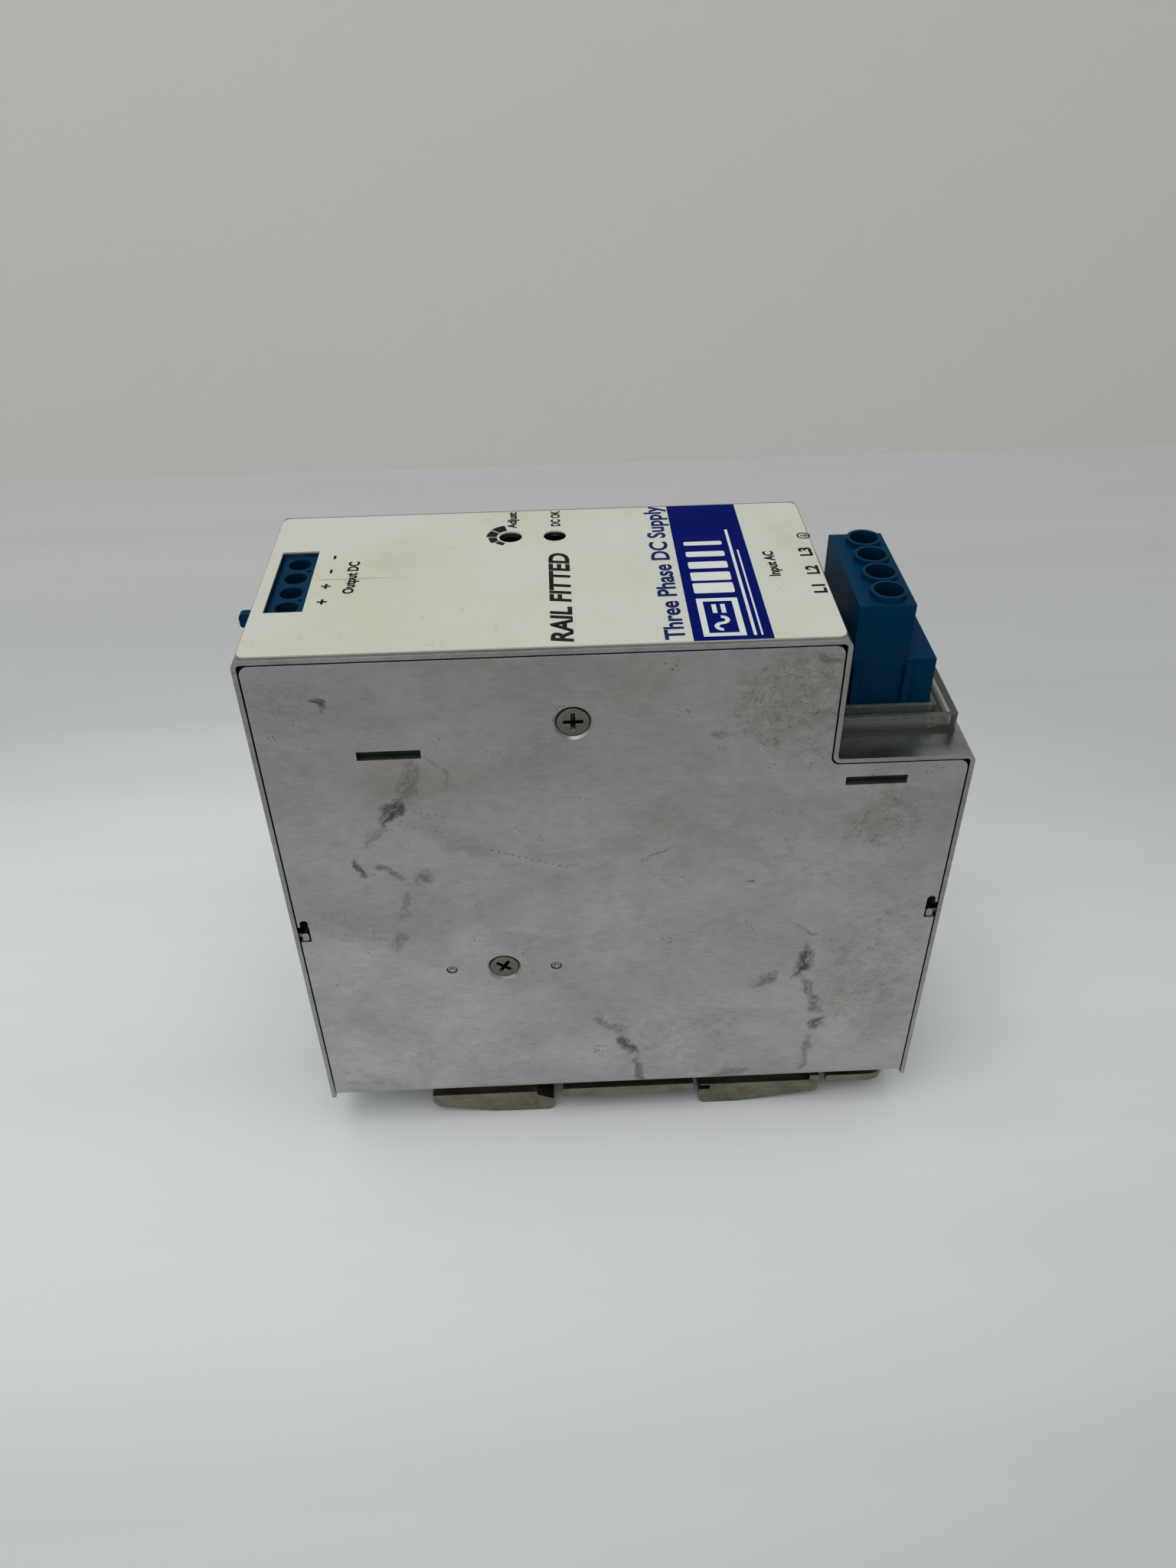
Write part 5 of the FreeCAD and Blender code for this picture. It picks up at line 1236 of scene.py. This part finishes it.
@dataclass
class Terminals:
    """Both terminal blocks with their screws, cages and contacts, and the clear wiring tray.

    Attributes:
        poles: how many screws each block has.
        housing, screw, cage, contact, tray: the finishes of the pieces of those names.
    """

    poles: int = 4
    housing: Moulding = Moulding("terminal_blue", (0.0002, 0.036, 0.090), 0.40, (0.004, 0.085, 0.17),
                                 dust=0.0, specular=0.04, shade=0.9)
    screw: Plated = Plated("terminal_screw", (0.62, 0.62, 0.60), 0.28, (0.9, 0.9, 0.88), patches=0.35)
    cage: Plated = Plated("terminal_cage", (0.52, 0.52, 0.50), 0.34)
    contact: Plated = Plated("tinned_contact", (0.68, 0.66, 0.60), 0.36, (0.8, 0.7, 0.45))
    tray: ClearPlastic = ClearPlastic("tray_clear", (0.74, 0.78, 0.70), 0.05, clear=0.93)

    def build(self) -> None:
        """Dresses the blocks."""
        for side in ("output", "input"):
            paint(f"{side}_terminal_housing", self.housing)
            paint(f"{side}_contacts", self.contact)
            for number in range(1, self.poles + 1):
                paint(f"{side}_screw_{number}", self.screw)
                paint(f"{side}_cage_{number}", self.cage)
        paint("board_link_pins", self.contact)
        paint("input_guard", self.tray)


@dataclass
class RailClip:
    """The two-hook rail clip under the case.

    Attributes:
        plate: the finish of both hooks and their plates.
        spring: the finish of the latch springs.
        screw: the finish of every case screw.
    """

    plate: Plated = Plated("clip_plate", (0.235, 0.22, 0.16), 0.42, (0.46, 0.44, 0.35),
                           (0.125, 0.112, 0.078), patches=0.7, stretch=0.08)
    spring: Plated = Plated("spring_wire", (0.55, 0.55, 0.53), 0.3)
    screw: Plated = Plated("case_screw", (0.20, 0.19, 0.15), 0.30, (0.55, 0.54, 0.50),
                           (0.13, 0.12, 0.10), patches=0.6, stretch=1.0, shade=0.95)

    def build(self) -> None:
        """Dresses the clip and every case screw."""
        for node in ("rail_bracket", "rail_latch"):
            paint(node, self.plate)
        paint("latch_springs", self.spring)
        for node in ("heat_sink_screws", "rail_bracket_screws", "latch_guide_screws", "board_screws",
                     "board_standoffs"):
            paint(node, self.screw)


@dataclass
class PowerStage:
    """Boards, windings, capacitors and heat sinks inside the case.

    Attributes:
        finishes: each finish under the names of the nodes that wear it.
    """

    finishes: dict[str, Finish] = field(default_factory=lambda: {
        "main_board output_board input_board control_board":
            Lacquered("board_lacquer", (0.002, 0.020, 0.007), 0.36, (0.010, 0.055, 0.018)),
        "primary_heat_sink secondary_heat_sink":
            SheetMetal("heat_sink", (0.34, 0.34, 0.335), 0.42, grime=0.4),
        "thermal_pads": Moulding("pad_silicone", (0.33, 0.35, 0.37), 0.62, dust=0.2),
        "primary_transistors output_rectifiers bridge_rectifier control_chips":
            Moulding("black_epoxy", (0.018, 0.018, 0.019), 0.46, (0.09, 0.09, 0.09), texture=3600.0),
        "transformer_core input_choke_core output_choke_core":
            Sintered("ferrite", (0.035, 0.035, 0.038), 0.5),
        "transformer_bobbin": Moulding("bobbin_black", (0.02, 0.02, 0.02), 0.4, (0.08, 0.08, 0.08)),
        "transformer_winding": Wrapped("winding_tape", (0.62, 0.46, 0.05), 0.36, (0.42, 0.30, 0.03),
                                       rings=150.0, axis=Axis.Y),
        "input_choke_windings output_choke_winding":
            Wrapped("enamelled_wire", (0.52, 0.20, 0.075), 0.26, (0.12, 0.04, 0.02), rings=950.0,
                    metallic=1.0),
        "bulk_capacitors output_capacitors":
            Wrapped("shrunk_sleeve", (0.020, 0.028, 0.055), 0.26, (0.016, 0.022, 0.045), rings=60.0),
        "suppression_capacitors": Moulding("film_box", (0.48, 0.36, 0.06), 0.4, (0.6, 0.5, 0.2)),
        "varistors": Moulding("varistor_blue", (0.02, 0.10, 0.30), 0.3, coat=0.4),
        "input_fuses": Moulding("fuse_body", (0.03, 0.03, 0.032), 0.4),
        "insulation_film": Moulding("insulation_film", (0.62, 0.61, 0.55), 0.3, dust=0.1),
        "adjust_dial_body": Moulding("dial_body", (0.008, 0.02, 0.05), 0.45, specular=0.2),
        "adjust_dial_rotor": Moulding("dial_rotor", (0.10, 0.095, 0.085), 0.5, specular=0.2),
        "signal_lamp": Moulding("lamp_lens", (0.012, 0.05, 0.018), 0.2, (0.05, 0.14, 0.05), dust=0.02,
                                coat=0.2),
    })

    def build(self) -> None:
        """Dresses the inner parts."""
        for names, finish in self.finishes.items():
            for node in names.split():
                paint(node, finish)


# ---------------------------------------------------------------- studio


@dataclass(frozen=True)
class Lamp:
    """A soft square light.

    Attributes:
        name: its name.
        at: where it hangs, in metres.
        aim: the point that it faces.
        size: its side, in metres.
        power: its power, in watts.
        tone: its colour.
    """

    name: str
    at: tuple[float, float, float]
    aim: tuple[float, float, float]
    size: float
    power: float
    tone: Tone


@dataclass
class Studio:
    """The table, the wall behind it, the lights and the camera.

    Attributes:
        eye: where the camera is, in metres.
        ahead: the direction it looks in.
        right: the direction of the picture's right-hand side.
        lens: its focal length, in mm.
        sensor: the picture's height on the camera's sensor, in mm.
        near_clip: how near to the camera things are still drawn, in metres.
        floor_size: the side of the table, in metres.
        wall: how far behind the object the wall stands, in metres.
        wall_size: the wall's width and height, in metres.
        table: the table's finish, with its painted pool of light.
        paint_tone: the wall's finish.
        sky: the colour of the soft light overhead.
        horizon: how bright the light is lower down, as a share of the light overhead.
        sky_strength: how strong the soft light is.
        lamps: the soft square lights.
    """

    eye: tuple[float, float, float] = (-0.00834, -0.18405, 0.21678)
    ahead: tuple[float, float, float] = (0.02075, 0.78567, -0.61829)
    right: tuple[float, float, float] = (0.99906, -0.03979, -0.01703)
    lens: float = 27.44
    sensor: float = 36.0
    near_clip: float = 0.005
    floor_size: float = 6.0
    wall: float = 0.322
    wall_size: tuple[float, float] = (3.0, 0.26)
    # the table darkens away from the object: a painted pool of light
    table: Table = Table("table", (0.87, 0.88, 0.90), 0.42, (0.83, 0.84, 0.86), fade=0.72)
    paint_tone: Table = Table("wall_paint", (0.77, 0.765, 0.70), 0.7, (0.75, 0.745, 0.68))
    sky: Tone = (0.80, 0.83, 0.84)
    horizon: float = 0.72
    sky_strength: float = 0.47
    lamps: tuple[Lamp, ...] = (
        Lamp("overhead", (-0.12, -0.26, 1.05), (0.0, -0.02, 0.0), 0.9, 4.9, (1.0, 0.995, 0.97)),
        Lamp("left_fill", (-0.9, -0.75, 0.75), (0.0, 0.0, 0.03), 0.8, 1.3, (0.94, 0.97, 1.0)),
    )

    def floor(self) -> None:
        """Lays the table."""
        Bench.clear_selection()
        bpy.ops.mesh.primitive_plane_add(size=self.floor_size, location=(0, 0, 0))
        floor = Bench.settle(bpy.context.active_object, "table_top")
        floor.data.materials.append(self.table.material())

    def backdrop(self) -> None:
        """Stands a wall behind the object that is seen only from its front."""
        Bench.clear_selection()
        wide, tall = self.wall_size
        bpy.ops.mesh.primitive_plane_add(size=1.0, location=(0, self.wall, tall / 2),
                                         rotation=(QUARTER_TURN, 0, 0))
        wall = bpy.context.active_object
        wall.scale = (wide, tall, 1)
        Bench.settle(wall, "wall")
        material = self.paint_tone.material()
        graph = Graph(material.node_tree)
        sink = next(n for n in graph.tree.nodes if n.bl_idname == "ShaderNodeOutputMaterial")
        shader = next(n for n in graph.tree.nodes if n.bl_idname == "ShaderNodeBsdfPrincipled")
        clear = graph.add("BsdfTransparent")
        away = graph.add("NewGeometry").outputs["Backfacing"]
        mix = graph.add("MixShader", {0: away, 1: shader.outputs[0], 2: clear.outputs[0]})
        graph.feed(sink.inputs["Surface"], mix.outputs[0])
        wall.data.materials.append(material)

    def light(self, lamp: Lamp) -> None:
        """Hangs a soft square light.

        Args:
            lamp: what it is and where it hangs.
        """
        Bench.clear_selection()
        bpy.ops.object.light_add(type="AREA", location=lamp.at)
        hung = bpy.context.active_object
        hung.name = lamp.name
        hung.data.size = lamp.size
        hung.data.energy = lamp.power
        hung.data.color = lamp.tone
        hung.rotation_euler = (Vector(lamp.aim) - Vector(lamp.at)).to_track_quat("-Z", "Y").to_euler()

    def camera(self) -> None:
        """Sets the camera at the viewing angle."""
        Bench.clear_selection()
        bpy.ops.object.camera_add(location=self.eye)
        camera = bpy.context.active_object
        ahead, right = Vector(self.ahead).normalized(), Vector(self.right).normalized()
        up = right.cross(ahead).normalized()
        turn = Matrix((right, up, -ahead)).transposed()
        camera.matrix_world = Matrix.Translation(self.eye) @ turn.to_4x4()
        camera.data.sensor_fit = "VERTICAL"
        camera.data.sensor_height = self.sensor
        camera.data.lens = self.lens
        camera.data.clip_start = self.near_clip
        bpy.context.scene.camera = camera

    def surroundings(self) -> None:
        """Fills the room with soft light that is a little brighter overhead."""
        world = bpy.data.worlds.new("room")
        world.use_nodes = True
        bpy.context.scene.world = world
        world.node_tree.nodes.clear()
        graph = Graph(world.node_tree)
        where = graph.add("TexCoord").outputs["Generated"]
        height = graph.add("SeparateXYZ", {0: where}).outputs[2]
        fall = graph.span(height, -0.2, 0.9)
        tone = graph.blend(fall, tuple(c * self.horizon for c in self.sky), self.sky)
        glow = graph.add("Background", {"Color": tone, "Strength": self.sky_strength})
        graph.feed(graph.add("OutputWorld").inputs["Surface"], glow.outputs[0])

    def build(self) -> None:
        """Sets up the whole studio."""
        bpy.context.scene.view_settings.view_transform = "Standard"
        self.surroundings()
        self.floor()
        self.backdrop()
        for lamp in self.lamps:
            self.light(lamp)
        self.camera()


def main() -> None:
    """Builds the studio and every sub-assembly in order."""
    logging.basicConfig(level=logging.INFO, format="%(name)s: %(message)s")
    Studio().build()
    CaseSheets().build()
    Terminals().build()
    RailClip().build()
    PowerStage().build()
    FrontPrint().build()


if __name__ == "__main__":
    main()
